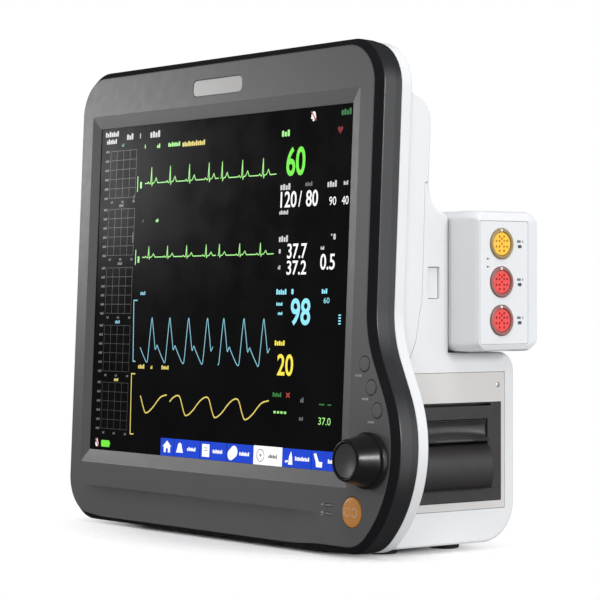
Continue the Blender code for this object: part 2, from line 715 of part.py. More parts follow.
# ---------------------------------------------------------------- finish
COATS = (  # the first entry whose words are in a name gives its material
    (("front_bezel",), BEZEL_GREY),
    (("glass", "lcd_panel", "navigation"), GLOSS_BLACK),
    (("alarm_lamp_lens",), LAMP_GREY),
    (("function_button", "knob_cap"), KEY_GREY),
    (("power_button",), ORANGE),
    (("board",), BOARD_GREEN),
    (("recorder_plate_screw", "shaft", "plunger", "mounting", "bracket", "supply", "print"), STEEL),
    (("recorder_plate", "panel"), PLATE_GREY),
    (("insert_1",), YELLOW),
    (("insert",), RED),
    (("ring",), SHELL_GREY),
    (("foot", "platen"), RUBBER),
    (("paper",), PAPER),
    (("stud",), BRASS),
    (("recorder", "inlet", "speaker", "battery_pack"), BLACK),
    (("socket", "port", "pump", "guide", "encoder"), SHELL_GREY),
    (("",), WHITE),
)


def finish():
    for obj in parts.objects:
        if obj.type != "MESH":
            continue
        colour, roughness, metallic = next(
            coat for words, coat in COATS if any(word in obj.name for word in words)
        )
        material = bpy.data.materials.new(obj.name)
        material.use_nodes = True
        shader = material.node_tree.nodes["Principled BSDF"]
        shader.inputs["Base Color"].default_value = (*colour, 1)
        shader.inputs["Roughness"].default_value = roughness
        shader.inputs["Metallic"].default_value = metallic
        obj.data.materials.append(material)
        obj.data.shade_smooth()
        obj.data.set_sharp_from_angle(angle=radians(35))


front_bezel()
display()
alarm_lamp()
keys()
key_board()
knob()
front_housing()
rear_housing()
recorder()
module_rack()
plug_in_module()
module_inside()
boards()
power()
speaker_and_pump()
patient_sockets()
rear_ports()
underneath()
finish()
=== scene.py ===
"""Looks of the bedside patient monitor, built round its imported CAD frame.

Lengths are written in millimetres, in the design's own axes: X to the viewer's
right with 0 at the middle of the screen, Y back from the foot of the bezel, Z
up from it. The leaning front has axes of its own: u along X, v up the face, w
out of it. ORIGIN puts all of them in the frame's axes.
"""

# fmt: off
from math import ceil, cos, pi, radians, sin

import bmesh
import bpy
from mathutils import Euler, Matrix, Vector


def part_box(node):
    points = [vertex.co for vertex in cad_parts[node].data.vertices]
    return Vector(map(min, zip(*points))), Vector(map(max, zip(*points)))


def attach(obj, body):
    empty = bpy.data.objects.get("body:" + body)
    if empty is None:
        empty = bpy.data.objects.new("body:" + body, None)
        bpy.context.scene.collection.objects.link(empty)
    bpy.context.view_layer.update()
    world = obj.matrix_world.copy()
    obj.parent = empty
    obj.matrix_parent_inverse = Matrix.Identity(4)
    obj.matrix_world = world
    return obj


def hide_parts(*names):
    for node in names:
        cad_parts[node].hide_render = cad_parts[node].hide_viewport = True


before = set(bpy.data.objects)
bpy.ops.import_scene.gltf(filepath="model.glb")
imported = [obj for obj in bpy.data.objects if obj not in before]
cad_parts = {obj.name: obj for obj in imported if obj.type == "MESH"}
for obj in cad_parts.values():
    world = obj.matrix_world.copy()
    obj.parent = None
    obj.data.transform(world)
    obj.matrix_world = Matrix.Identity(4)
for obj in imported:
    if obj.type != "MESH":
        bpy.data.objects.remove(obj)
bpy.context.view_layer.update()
MM = 0.001

# ---- dimensions
LEAN = radians(2.57)
SCREEN_X, SCREEN_V = (-169.0, 169.0), (58.4, 327.7)
FRONT_W, FRONT_H, CORNER_R = 400.0, 375.4, 36.0
BEZEL_DEEP, RIM_DEEP = 22.4, 32.6
SIDE, BACK = 197.0, 150.0
CASE_FOOT, LEDGE, FLOOR = 2.5, 144.5, -3.0
GAP, WALL = 0.3, 3.0
GLASS = -2.7  # front of the glass, from the bezel's face

KNOB, KNOB_R, KNOB_TIP = (206.0, 68.8), 20.5, 24.6
POWER_KEY, POWER_R = (186.1, 30.6), 11.0
KEYS, KEY_R = [(194.9, 137.6), (203.4, 120.9), (210.8, 104.7)], 5.4
LIGHTS = [(159.5, 34.0), (159.5, 27.9)]
PLATE_Y, PLATE_Z = (40.0, 140.6), (27.3, 129.8)
PAPER_AXIS, PLATEN_AXIS = (150, 66), (188.2, 70.0)
RECORDER_Y, RECORDER_Z = (50.0, 136.4), (33.6, 107.0)
DOOR_Y = (52.5, 122.3)  # the latch spans the same
SCREW_AT = (133.4, 119.9)
MODULE_Y, MODULE_Z, MODULE_FACE = (85.5, 150.0), (145.4, 249.0), 225.0
MODULE_TAIL = 201.0  # where the module's face part meets its body
NEAR_CUT, FAR_CUT = (5.5, 4.5), (7.8, 5.2)  # corners of the module, in Y and Z
RACK_END = 60.0  # inner end of the rack
LABEL_Y, LABEL_Z = (90.1, 138.3), (150.7, 241.6)
SOCKET_Y, SOCKET_Z = 111.5, (224.7, 196.6, 168.4)
LATCH_Y, LATCH_Z = (64.3, 75.6), (184.1, 207.7)
BATTERY_X, BATTERY_Z, BATTERY_R = (-160.0, -20.0), (36.0, 112.0), 0.7
PORTS_X, PORTS_Z = (5.0, 100.0), (38.0, 112.0)
PLATE_AT = 77.0  # middle of the mounting plate, back from the bezel's foot
FEET = {
    "foot_front_left": (-167, 45.5),
    "foot_front_right": (167, 45.5),
    "foot_rear_left": (-167, 106),
    "foot_rear_right": (167, 106),
}

low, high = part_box("mounting_plate")
ORIGIN = Vector(((low.x + high.x) / 2, (low.y + high.y) / 2 - PLATE_AT * MM, low.z - 0.2 * MM))
BASE = Matrix.Translation(ORIGIN)


def turned_axes(x, z=0.0):
    return BASE @ Euler((x, 0, z)).to_matrix().to_4x4()


FRONT = turned_axes(pi / 2 - LEAN)  # u, v, outwards
RIGHT = turned_axes(pi / 2, pi / 2)  # Y, Z, then X
REAR = turned_axes(pi / 2)  # X, Z, then -Y
OUT_BACK = turned_axes(pi / 2, pi)  # -X, Z, then Y
ALONG = FRONT @ Euler((pi / 2, 0, pi / 2)).to_matrix().to_4x4()  # v, w, then u

# ---- shapes
def add_object(name, data):
    obj = bpy.data.objects.new(name, data)
    bpy.context.scene.collection.objects.link(obj)
    return obj


def placed(work, axes):
    """A new object from a finished bmesh."""
    mesh = bpy.data.meshes.new("shape")
    work.to_mesh(mesh)
    work.free()
    obj = add_object("shape", mesh)
    obj.matrix_world = axes
    return obj


def shape(work, axes=BASE):
    """A new object from a bmesh in millimetres, in the given axes."""
    bmesh.ops.recalc_face_normals(work, faces=work.faces)
    bmesh.ops.scale(work, vec=(MM, MM, MM), verts=work.verts)
    return placed(work, axes)


def block(x, y, z, axes=BASE, edge=0.0):
    """A box from (low, high) pairs, with rounded edges."""
    work = bmesh.new()
    bmesh.ops.create_cube(work, size=1)
    bmesh.ops.scale(work, vec=[b - a for a, b in (x, y, z)], verts=work.verts)
    bmesh.ops.translate(work, vec=[(a + b) / 2 for a, b in (x, y, z)], verts=work.verts)
    if edge:
        bmesh.ops.bevel(
            work, geom=work.edges[:], offset=edge, segments=3, profile=0.5, affect="EDGES"
        )
    return shape(work, axes)


def turned(profile, axes, at=(0, 0), sides=72):
    """A (radius, height) profile turned about the third axis through a point.
    A profile that starts off the axis is closed into a ring."""
    work = bmesh.new()
    rings = []
    for r, h in profile:
        turns = [2 * pi * i / sides for i in range(sides)] if r else [0]
        rings.append([work.verts.new((at[0] + r * cos(a), at[1] + r * sin(a), h)) for a in turns])
    if profile[0][0] > 0:
        rings.append(rings[0])
    for below, above in zip(rings, rings[1:]):
        for i in range(sides):
            j = (i + 1) % sides
            corners = [below[i % len(below)], below[j % len(below)]]
            corners += [above[j % len(above)], above[i % len(above)]]
            work.faces.new(dict.fromkeys(corners))
    return shape(work, axes)


def drum(r, start, end, axes, at=(0, 0), sides=72):
    """A plain round bar."""
    return turned([(0, start), (r, start), (r, end), (0, end)], axes, at, sides)


def loft(layers, axes, bands=()):
    """Skins (outline, height) sections of equal counts. bands gives each
    band's material, and the last two are the first and last section's."""
    n = len(layers[0][0])
    work = bmesh.new()
    rings = [[work.verts.new((*point, h)) for point in points] for points, h in layers]
    ends = [work.faces.new(rings[0]), work.faces.new(rings[-1])]
    bands = list(bands) or [0] * (len(layers) + 1)
    for band, below, above in zip(bands, rings, rings[1:]):
        for i in range(n):
            j = (i + 1) % n
            work.faces.new((below[i], below[j], above[j], above[i])).material_index = band
    for end, band in zip(ends, bands[-2:]):
        end.material_index = band
    return shape(work, axes)


def round_off(points, r, steps=6, fixed=()):
    """(outline, height) sections of an edge rounded to r, from its rim inwards."""
    turn = [pi / 2 * i / steps for i in range(steps + 1)]
    return [(inset(points, r * (1 - sin(a)), fixed), r * (1 - cos(a))) for a in turn]


def slab(points, low, high, axes, edge=0.0, steps=4):
    """An outline given thickness, with its two rims rounded."""
    if not edge:
        return loft([(points, low), (points, high)], axes)
    soft = round_off(points, edge, steps)
    return loft([(p, low + h) for p, h in soft] + [(p, high - h) for p, h in soft[::-1]], axes)


def arc(cx, cy, r, start, end, step=4.0):
    n = max(2, ceil(abs(end - start) / step))
    turn = [radians(start + (end - start) * i / n) for i in range(n + 1)]
    return [(cx + r * cos(a), cy + r * sin(a)) for a in turn]


def rounded(x, y, r=2.0, step=15.0):
    return (
        arc(x[1] - r, y[0] + r, r, -90, 0, step)
        + arc(x[1] - r, y[1] - r, r, 0, 90, step)
        + arc(x[0] + r, y[1] - r, r, 90, 180, step)
        + arc(x[0] + r, y[0] + r, r, 180, 270, step)
    )


def cut_corners(x, y, first, last, r, steps=4):
    """A rectangle with its corners cut off, by first (x, y) at its low x and last
    at its high x, and each new corner rounded over a length r."""
    run = [(x[1] - last[0], y[0]), (x[1], y[0] + last[1])]
    run += [(x[1], y[1] - last[1]), (x[1] - last[0], y[1])]
    run += [(x[0] + first[0], y[1]), (x[0], y[1] - first[1])]
    run += [(x[0], y[0] + first[1]), (x[0] + first[0], y[0])]
    corners = [Vector(point) for point in run]
    found = []
    for before, here, after in zip(corners[-1:] + corners, corners, corners[1:] + corners[:1]):
        start = here + r * (before - here).normalized()
        end = here + r * (after - here).normalized()
        for k in range(steps + 1):
            t = k / steps
            found.append(tuple(start.lerp(here, t).lerp(here.lerp(end, t), t)))
    return found


def around(u, v, width, height):
    return (u - width / 2, u + width / 2), (v - height / 2, v + height / 2)


def grown(span, d):
    return (span[0] - d, span[1] + d)


def inset(points, d, fixed=()):
    """A counter-clockwise outline moved inwards by d. The points whose
    numbers are in fixed stay where they are."""
    moved = []
    for i, point in enumerate(points):
        if i in fixed:
            moved.append(point)
            continue
        here = Vector(point)
        before = (here - Vector(points[i - 1])).normalized()
        after = (Vector(points[(i + 1) % len(points)]) - here).normalized()
        m, n = Vector((-before.y, before.x)), Vector((-after.y, after.x))
        moved.append(tuple(here + d * (m + n) / (1 + m.dot(n))))
    return moved


def smooth_curve(points, steps=6):
    """A Catmull-Rom curve through an open run of points."""
    ends = [points[0]] + list(points) + [points[-1]]
    found = []
    for a, b, c, d in zip(ends, ends[1:], ends[2:], ends[3:]):
        for k in range(steps):
            t = k / steps
            found.append(
                tuple(
                    0.5 * (2 * q + (r - p) * t + (2 * p - 5 * q + 4 * r - s) * t**2
                           + (3 * q - p - 3 * r + s) * t**3)
                    for p, q, r, s in zip(a, b, c, d)
                )
            )
    return found + [tuple(points[-1])]


def evaluated_mesh(obj):
    bpy.context.view_layer.update()
    graph = bpy.context.evaluated_depsgraph_get()
    return bpy.data.meshes.new_from_object(obj.evaluated_get(graph))


def boolean(body, tools, how):
    for tool in tools:
        modifier = body.modifiers.new(how, "BOOLEAN")
        modifier.object = tool
        modifier.operation = how
    mesh = evaluated_mesh(body)
    body.modifiers.clear()
    body.data = mesh
    for tool in tools:
        bpy.data.objects.remove(tool)
    return body


def cut(body, *tools):
    return boolean(body, tools, "DIFFERENCE")


def join(body, *tools):
    return boolean(body, tools, "UNION")


def merge(shapes):
    """Several shapes in one object, each still its own closed body."""
    work = bmesh.new()
    axes = shapes[0].matrix_world.copy()
    for one in shapes:
        copy = one.data.copy()
        copy.transform(axes.inverted() @ one.matrix_world)
        work.from_mesh(copy)
        bpy.data.objects.remove(one)
    return placed(work, axes)


def piece(obj, name, coats, nodes=(), body="case", sharp=35.0):
    """Names and shades a finished shape, coats it, rides it on a body and
    hides the CAD nodes it replaces."""
    obj.name = obj.data.name = name
    obj.data.transform(obj.matrix_world)
    obj.matrix_world = Matrix()
    for coat in coats if isinstance(coats, (list, tuple)) else [coats]:
        obj.data.materials.append(coat)
    obj.data.shade_smooth()
    obj.data.set_sharp_from_angle(angle=radians(sharp))
    weighted = obj.modifiers.new("even_normals", "WEIGHTED_NORMAL")
    weighted.keep_sharp = True
    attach(obj, body)
    if nodes:
        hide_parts(*([nodes] if isinstance(nodes, str) else nodes))
    return obj


# ---- materials
def feed(node, **values):
    """Sets a node's inputs. A space in an input's name is written as _."""
    for socket, value in values.items():
        node.inputs[socket.replace("_", " ")].default_value = value
    return node


def map_range(tree, source, start, end, low, high):
    """Maps the source's range from start to end onto low to high."""
    node = tree.nodes.new("ShaderNodeMapRange")
    tree.links.new(source, node.inputs["Value"])
    return feed(node, From_Min=start, From_Max=end, To_Min=low, To_Max=high)


class Coat:
    """A Principled material whose texture coordinates are the object's own."""

    def __init__(self, name, colour, rough, **sockets):
        self.material = bpy.data.materials.new(name)
        self.material.use_nodes = True
        self.tree = self.material.node_tree
        self.nodes, self.links = self.tree.nodes, self.tree.links
        self.shader = self.nodes["Principled BSDF"]
        feed(self.shader, Base_Color=(*colour, 1), Roughness=rough, **sockets)
        self.place = self.nodes.new("ShaderNodeTexCoord").outputs["Object"]
        self.height = None

    def noise(self, size, detail=3.0, stretch=None, kind="ShaderNodeTexNoise"):
        """Noise whose features measure size millimetres."""
        texture = feed(self.nodes.new(kind), Scale=1000.0 / size)
        place = self.place
        if stretch:
            mapping = feed(self.nodes.new("ShaderNodeMapping"), Scale=stretch)
            self.links.new(place, mapping.inputs["Vector"])
            place = mapping.outputs["Vector"]
        self.links.new(place, texture.inputs["Vector"])
        if kind == "ShaderNodeTexNoise":
            return feed(texture, Detail=detail).outputs["Fac"]
        return texture.outputs["Distance"]

    def spread(self, source, low, high, start=0.3, end=0.7):
        return map_range(self.tree, source, start, end, low, high).outputs["Result"]

    def mottle(self, source, first, second, start=0.3, end=0.7, onto="Base Color"):
        """A colour that goes from first to second as the source rises. Without
        a first colour, the second is laid over what is there already."""
        mix = self.nodes.new("ShaderNodeMix")
        mix.data_type = "RGBA"
        if first:
            feed(mix, A=(*first, 1))
        else:
            self.links.new(self.shader.inputs[onto].links[0].from_socket, mix.inputs["A"])
        feed(mix, B=(*second, 1))
        self.links.new(self.spread(source, 0, 1, start, end), mix.inputs["Factor"])
        self.links.new(mix.outputs["Result"], self.shader.inputs[onto])

    def roughen(self, source, low, high):
        self.links.new(self.spread(source, low, high), self.shader.inputs["Roughness"])

    def bump(self, source, depth, strength=1.0):
        """Relief of depth millimetres, added to any before it."""
        node = feed(self.nodes.new("ShaderNodeBump"), Distance=depth * MM, Strength=strength)
        self.links.new(source, node.inputs["Height"])
        if self.height:
            self.links.new(self.height, node.inputs["Normal"])
        self.height = node.outputs["Normal"]
        self.links.new(self.height, self.shader.inputs["Normal"])


def shaded(colour, factor):
    return tuple(min(1.0, c * factor) for c in colour)


def moulded(name, colour, rough, relief=0.02, drift=0.05, grain=0.7, **sockets):
    """Moulded plastic: spark-eroded grain, faint flow marks, uneven gloss. The
    relief and the grain are in millimetres, and drift is how uneven it looks."""
    coat = Coat(name, colour, rough, **sockets)
    cloud = coat.noise(38, 4)
    coat.mottle(cloud, shaded(colour, 1 - drift), shaded(colour, 1 + drift))
    coat.mottle(coat.noise(2.2, 2), None, shaded(colour, 1 - 1.5 * drift), 0.6, 0.8)
    coat.roughen(coat.noise(9, 5), rough - drift, rough + drift)
    coat.bump(coat.noise(60, 2), 0.05, 0.35)
    coat.bump(coat.noise(grain, 2), relief)
    return coat.material


def metal(name, colour, rough, stretch=(1, 1, 12)):
    """Rolled or turned metal with fine lines along one axis."""
    coat = Coat(name, colour, rough, Metallic=1.0)
    coat.mottle(coat.noise(14, 4), shaded(colour, 0.86), shaded(colour, 1.08))
    coat.roughen(coat.noise(2.5, 4, stretch), rough - 0.08, rough + 0.14)
    coat.bump(coat.noise(0.6, 2, stretch), 0.006)
    return coat.material


def glow(name, colour, strength=1.0):
    """A lit part of the display, with the panel's faint unevenness."""
    lit = {"Emission_Strength": strength, "Specular_IOR_Level": 0.2}
    coat = Coat("display_" + name, shaded(colour, 0.2), 0.3, **lit)
    coat.mottle(coat.noise(6, 2), shaded(colour, 0.16), shaded(colour, 0.24))
    coat.mottle(coat.noise(1.3, 1), shaded(colour, 0.86), colour, 0.4, 0.6, "Emission Color")
    return coat.material


def board_coat():
    """Green solder mask with tinned tracks under it."""
    green = (0.012, 0.10, 0.045)
    coat = Coat("circuit_board", green, 0.3, Coat_Weight=0.4)
    coat.mottle(coat.noise(18, 3), shaded(green, 0.7), shaded(green, 1.25))
    tracks = coat.noise(5, 0, kind="ShaderNodeTexVoronoi")
    coat.mottle(tracks, None, (0.05, 0.22, 0.10), 0.42, 0.5)
    coat.bump(tracks, 0.03)
    return coat.material


def glass_coat():
    """Dark anti-reflection glass with a trace of wiping marks."""
    coat = Coat("screen_glass", (0.004, 0.004, 0.005), 0.16, Specular_IOR_Level=0.015)
    coat.mottle(coat.noise(70, 2), (0.0045, 0.0045, 0.005), (0.007, 0.0065, 0.007))
    coat.roughen(coat.noise(25, 6, (1, 3, 1)), 0.14, 0.24)
    return coat.material


def paper_coat():
    coat = Coat("paper", (0.86, 0.85, 0.80), 0.85)
    coat.mottle(coat.noise(3, 4), (0.80, 0.78, 0.72), (0.90, 0.89, 0.85))
    coat.bump(coat.noise(0.4, 4), 0.02)
    coat.bump(coat.noise(1.2, 1, (1, 30, 30)), 0.05)
    return coat.material


def rubber_coat():
    dark = (0.017, 0.022, 0.027)
    coat = Coat("rubber", dark, 0.7)
    coat.mottle(coat.noise(6, 5), shaded(dark, 0.75), shaded(dark, 1.5))
    coat.mottle(coat.noise(0.9, 2), None, (0.12, 0.12, 0.12), 0.68, 0.85)
    coat.bump(coat.noise(0.7, 3), 0.05)
    return coat.material


# name, colour, roughness, relief, drift
BEZEL = moulded("bezel_plastic", (0.090, 0.0885, 0.0885), 0.42, 0.018, 0.02)
BEZEL_EDGE = moulded("bezel_gloss_edge", (0.010, 0.010, 0.012), 0.14, 0.002)
# the bezel's side wall: the face's plastic in a far darker colour, painted shade for its downturned lower
# part
BEZEL_SIDE_SHADED = moulded("bezel_side_painted_shade", (0.020, 0.0205, 0.0215), 0.32, 0.012, 0.03)
WHITE = moulded("white_case", (0.71, 0.72, 0.73), 0.34, 0.012, 0.012, grain=0.8)
SHELL = moulded("module_case", (0.72, 0.735, 0.75), 0.30, 0.008, 0.012, grain=0.8)
LABEL = moulded("face_label", (0.71, 0.725, 0.74), 0.42, 0.006, 0.01, grain=0.5)
PLATE = moulded("recorder_plate", (0.60, 0.59, 0.58), 0.42, 0.012, 0.02, grain=0.6)
MATT_BLACK = moulded("recorder_matt", (0.024, 0.022, 0.022), 0.48, 0.03, Specular_IOR_Level=0.4)
DOOR_BLACK = moulded("recorder_door_plastic", (0.012, 0.0095, 0.009), 0.45, 0.04)
SATIN_BLACK = moulded("recorder_satin", (0.036, 0.0365, 0.036), 0.34, 0.02, 0.1)
KNOB_BLACK = moulded("knob_gloss", (0.010, 0.010, 0.010), 0.29, 0.002, 0.01)
KNOB_CAP = moulded("knob_cap_plastic", (0.046, 0.0465, 0.048), 0.46, 0.006, 0.02)
KEY = moulded("key_plastic", (0.092, 0.091, 0.089), 0.5, 0.02, grain=0.5)
POWER = moulded("power_key_plastic", (0.52, 0.215, 0.042), 0.42, 0.02, grain=0.6)
PRINT = moulded("printed_marks", (0.30, 0.30, 0.30), 0.55, 0.004, 0.15)
WARM_PRINT = moulded("warm_marks", (0.55, 0.42, 0.30), 0.5, 0.004)
DARK_PRINT = moulded("dark_marks", (0.045, 0.048, 0.055), 0.55, 0.004, 0.2)
LAMP = moulded("lamp_lens", (0.40, 0.392, 0.384), 0.32, 0.01, 0.03, grain=1.0)
GUIDE = moulded("light_guide", (0.16, 0.165, 0.17), 0.3, 0.004)
GREY = moulded("grey_plastic", (0.36, 0.355, 0.345), 0.4, 0.015, 0.03)
# darker, browner copies of the insert colours: painted shade of the groove round each insert
RING_AMBER_SHADED = moulded("socket_shell_amber_painted_shade", (0.30, 0.21, 0.085), 0.3, 0.006, 0.1)
RING_RED_SHADED = moulded("socket_shell_red_painted_shade", (0.26, 0.115, 0.10), 0.3, 0.006, 0.1)
YELLOW = moulded("yellow_insert", (0.92, 0.53, 0.035), 0.36, 0.01, grain=0.5)
RED = moulded("red_insert", (0.78, 0.055, 0.05), 0.36, 0.01, grain=0.5)
BLUE = moulded("blue_insert", (0.05, 0.16, 0.42), 0.36, 0.01, grain=0.5)
GREEN = moulded("green_insert", (0.08, 0.32, 0.12), 0.36, 0.01, grain=0.5)
BATTERY = moulded("battery_wrap", (0.035, 0.040, 0.055), 0.45, 0.03, grain=1.5)
# darker copies of the insert colours for discs in the contact pits: painted shade of the holes
YELLOW_PIT_SHADE = moulded("yellow_pit_painted_shade", (0.50, 0.27, 0.015), 0.5)
RED_PIT_SHADE = moulded("red_pit_painted_shade", (0.42, 0.010, 0.014), 0.5)
HOLE = moulded("contact_dark", (0.012, 0.009, 0.008), 0.6)
STEEL = metal("steel", (0.60, 0.60, 0.61), 0.3)
SHEET = metal("sheet_metal", (0.66, 0.67, 0.68), 0.36, (12, 1, 1))
BRASS = metal("brass", (0.74, 0.56, 0.26), 0.28)
BOARD = board_coat()
GLASS_COAT = glass_coat()
PAPER = paper_coat()
RUBBER = rubber_coat()


def dress(node, coat):
    """Gives a CAD solid that keeps its shape its finished material."""
    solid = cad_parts[node]
    solid.data.materials.clear()
    solid.data.materials.append(coat)


# ---- outlines
def front_outline(d=0.0):
    """The front unit's outline, moved inwards by d, with its flared corner."""
    x, y = FRONT_W / 2 - CORNER_R, FRONT_H - CORNER_R
    return (
        arc(181, 34, 34 - d, -90, -45)
        + arc(140, 75, 92 - d, -45, 27.8, 3)[1:]
        + arc(280, 178.3, 80 + d, 207.8, 180, 3)
        + arc(x, y, CORNER_R - d, 0, 90)
        + arc(-x, y, CORNER_R - d, 90, 180)
        + arc(-x, CORNER_R, CORNER_R - d, 180, 270)
    )


def behind(v, w):
    """(Y, Z) of a point of the leaning front."""
    return (v * sin(LEAN) - w * cos(LEAN), v * cos(LEAN) + w * sin(LEAN))


SEAM = [
    (61.4, 269.3), (60.0, 225.0), (58.3, 182.0), (55.6, 171.7),
    (54.4, 163.0), (52.7, 154.2), (48.9, 145.5), (46.6, 140.3),
]
SHOULDER = (47.5, 314.2, 20.2)


# ---- front unit
def front_bezel():
    """Satin face, glossy edge strip, satin wall that tapers at the back. The wall's plastic is coloured
    far darker than the face's, painted shade.
    """
    rise = [(5.95, 0.0), (5.65, -0.03), (5.4, -0.12), (5.15, -0.3)]
    strip = [(3.6, -1.85), (2.05, -3.4), (0.75, -4.75)]
    wall = [(0.3, -5.25), (0.05, -5.8), (0, -6.5), (0, -15.6), (0.1, -16.3), (0.85, -BEZEL_DEEP)]
    rims = rise + strip + wall
    bands = [0, 0, 0] + [1] * (len(strip) + 1) + [2] * (len(wall) - 1) + [0, 2]
    bezel = loft([(front_outline(d), w) for d, w in rims], FRONT, bands)
    x, v = SCREEN_X, SCREEN_V
    opening = [(11.2, 0.6), (10.45, 0.0), (10.2, -0.06), (9.7, -0.2), (0.25, -2.06), (0, -2.2), (0, -3)]
    hollow = [(front_outline(d), w) for d, w in ((7.2, -3.4), (3.2, -7.4), (3.2, -23))]
    bevel = [(rounded(grown(x, d), grown(v, d * 1.04), 0.8 + d * 0.12), w) for d, w in opening]
    cut(
        bezel,
        loft(hollow, FRONT),
        loft(bevel, FRONT),
        slab(rounded((-174.4, 174.4), (53.6, 332.4)), -9, -2.4, FRONT),
        slab(rounded((-33.3, 33.3), (345.2, 358.8), 5), -6, 1, FRONT),
        drum(5.2, 1, -6, FRONT, KNOB),
        *[round_hole(at, KEY_R + 0.4) for at in KEYS],
        round_hole(POWER_KEY, POWER_R + 0.4),
        *[slab(rounded(*around(*at, 9, 2.4), 1), -6, 1, FRONT) for at in LIGHTS],
    )
    cut(bezel, crease())
    piece(bezel, "bezel_shell", [BEZEL, BEZEL_EDGE, BEZEL_SIDE_SHADED], "front_bezel")


def round_hole(at, r):
    """A hole through the bezel's face with a softened rim."""
    rim = [(0, 1), (r + 1.2, 1), (r + 0.45, 0), (r + 0.15, -0.12), (r, -0.45), (r, -6), (0, -6)]
    return turned(rim, FRONT, at)


def crease():
    """The lower face steps back under a crease that fades at both ends."""
    sections = []
    for u in range(-172, 157, 6):
        left = min(1.0, max(0.0, (u + 172) / 30))
        right = min(1.0, max(0.0, (156 - u) / 48))
        deep = 0.03 + 2.2 * left * left * (3 - 2 * left) * right * right * (3 - 2 * right)
        fillet = [(27.4, 0.34), (25.2, 0.62), (22, 0.84), (17, 0.96), (3, 1)]
        section = [(3, 1), (28.6, 1), (28.5, 0)] + [(v, -deep * share) for v, share in fillet]
        sections.append((section, u))
    return loft(sections, ALONG)


def alarm_lamp():
    lens = slab(rounded((-33, 33), (345.5, 358.5), 4.7, 6), -5, -0.25, FRONT, 0.5)
    flange = slab(rounded((-36, 36), (342.6, 361.4), 3), -5.6, -3.8, FRONT)
    piece(join(lens, flange), "lamp_cover", LAMP, "alarm_lamp_lens")


def keys():
    for i, at in enumerate(KEYS, 1):
        r = KEY_R
        dome = [(0, 0.38), (3.4, 0.42), (4.7, 0.42), (5.1, 0.34), (r - 0.08, 0.05), (r, -0.4)]
        tail = [(r, -3.8), (6.8, -3.8), (6.8, -5.4), (0, -5.4)]
        cap = turned(dome + tail, FRONT, at)
        piece(cap, f"round_key_{i}", KEY, f"function_button_{i}", body=f"key_{i}")
        spot = (at[0] - 6.4, at[1] - 8.4)
        bars = [(-3.1, 1.3), (-1.3, 1.2), (0.5, 1.5), (2.5, 1.6)]
        marks = [plate_mark((spot[0] + u, spot[1]), width, 1.7) for u, width in bars]
        piece(merge(marks), f"key_caption_{i}", PRINT)
    r = POWER_R
    dome = [(0, 1.05), (5, 0.98), (8.2, 0.82), (9.4, 0.7), (10.2, 0.45), (r - 0.15, 0.1), (r, -0.5)]
    tail = [(r, -3.8), (12.4, -3.8), (12.4, -5.4), (0, -5.4)]
    cap = turned(dome + tail, FRONT, POWER_KEY)
    piece(cap, "power_cap", POWER, "power_button", body="power_key")
    power_mark()


def plate_mark(at, width, height, top=0.05, r=0.3):
    """A small blank mark printed on the bezel's face."""
    return slab(rounded(*around(*at, width, height), r, 30), -0.1, top, FRONT)


def power_mark():
    """Two broken rings, side by side, on the power button."""
    rings = []
    for u, start, end in ((-3.9, 25, 335), (4.1, -155, 155)):
        centre = (POWER_KEY[0] + u, POWER_KEY[1])
        ring = arc(*centre, 3.3, start, end, 12) + arc(*centre, 2.75, end, start, 12)
        rings.append(slab(ring, 0.5, 1.1, FRONT))
    piece(merge(rings), "power_symbol", WARM_PRINT, body="power_key")


def status_lights():
    guide = slab(rounded((152, 167), (24, 38), 1), -5.6, -3.8, FRONT)
    for at in LIGHTS:
        bar = rounded(*around(*at, 8.2, 1.6), 0.75, 20)
        join(guide, slab(bar, -4.5, 0.08, FRONT, 0.15, 2))
    piece(guide, "light_bars", GUIDE, "status_light_guide")
    plug = [plate_mark((151.3, 34.2), 1.7, 1.2), plate_mark((153, 34.2), 1.2, 0.5)]
    cell = [plate_mark((151.7, 28.4), 2.6, 1.3), plate_mark((153.4, 28.4), 0.4, 0.7, r=0.15)]
    cell += [plate_mark((151.7, 26.6), 2.8, 0.4, r=0.15)]
    piece(merge(plug + cell), "light_symbols", PRINT)


def knob():
    collar = [(3.15, 1.2), (19.2, 1.2), (20.1, 1.5), (KNOB_R, 2.3), (KNOB_R, 5.0)]
    groove = [(20.3, 5.7), (19.7, 6.2), (18.9, 6.4), (18.6, 6.7), (18.75, 7.1)]
    cone = [(18.55, 8.0), (17.6, 12), (16.6, 16.2), (15.7, 20.2), (15.05, 23.1)]
    lip = [(14.75, 23.9), (14.2, 24.4), (13.5, KNOB_TIP), (12.9, 24.35), (12.6, 23.8)]
    seat = [(12.6, 20.6), (9, 19), (3.15, 19)]
    body = turned(collar + groove + cone + lip + seat, FRONT, KNOB, 96)
    piece(body, "knob_body", KNOB_BLACK, "navigation_knob", body="knob")
    dish = [(0, 19.4), (8.9, 19.4), (12.3, 20.9), (12.35, 23.4), (12.0, 23.75), (11.4, 23.6)]
    bowl = [(r, 21.5 + 2.0 * (r / 11.4) ** 2) for r in (10.4, 9.0, 7.2, 5.2, 3.0, 1.4)]
    cap = turned(dish + bowl + [(0, 21.5)], FRONT, KNOB, 96)
    piece(cap, "knob_dish", KNOB_CAP, "knob_cap", body="knob")


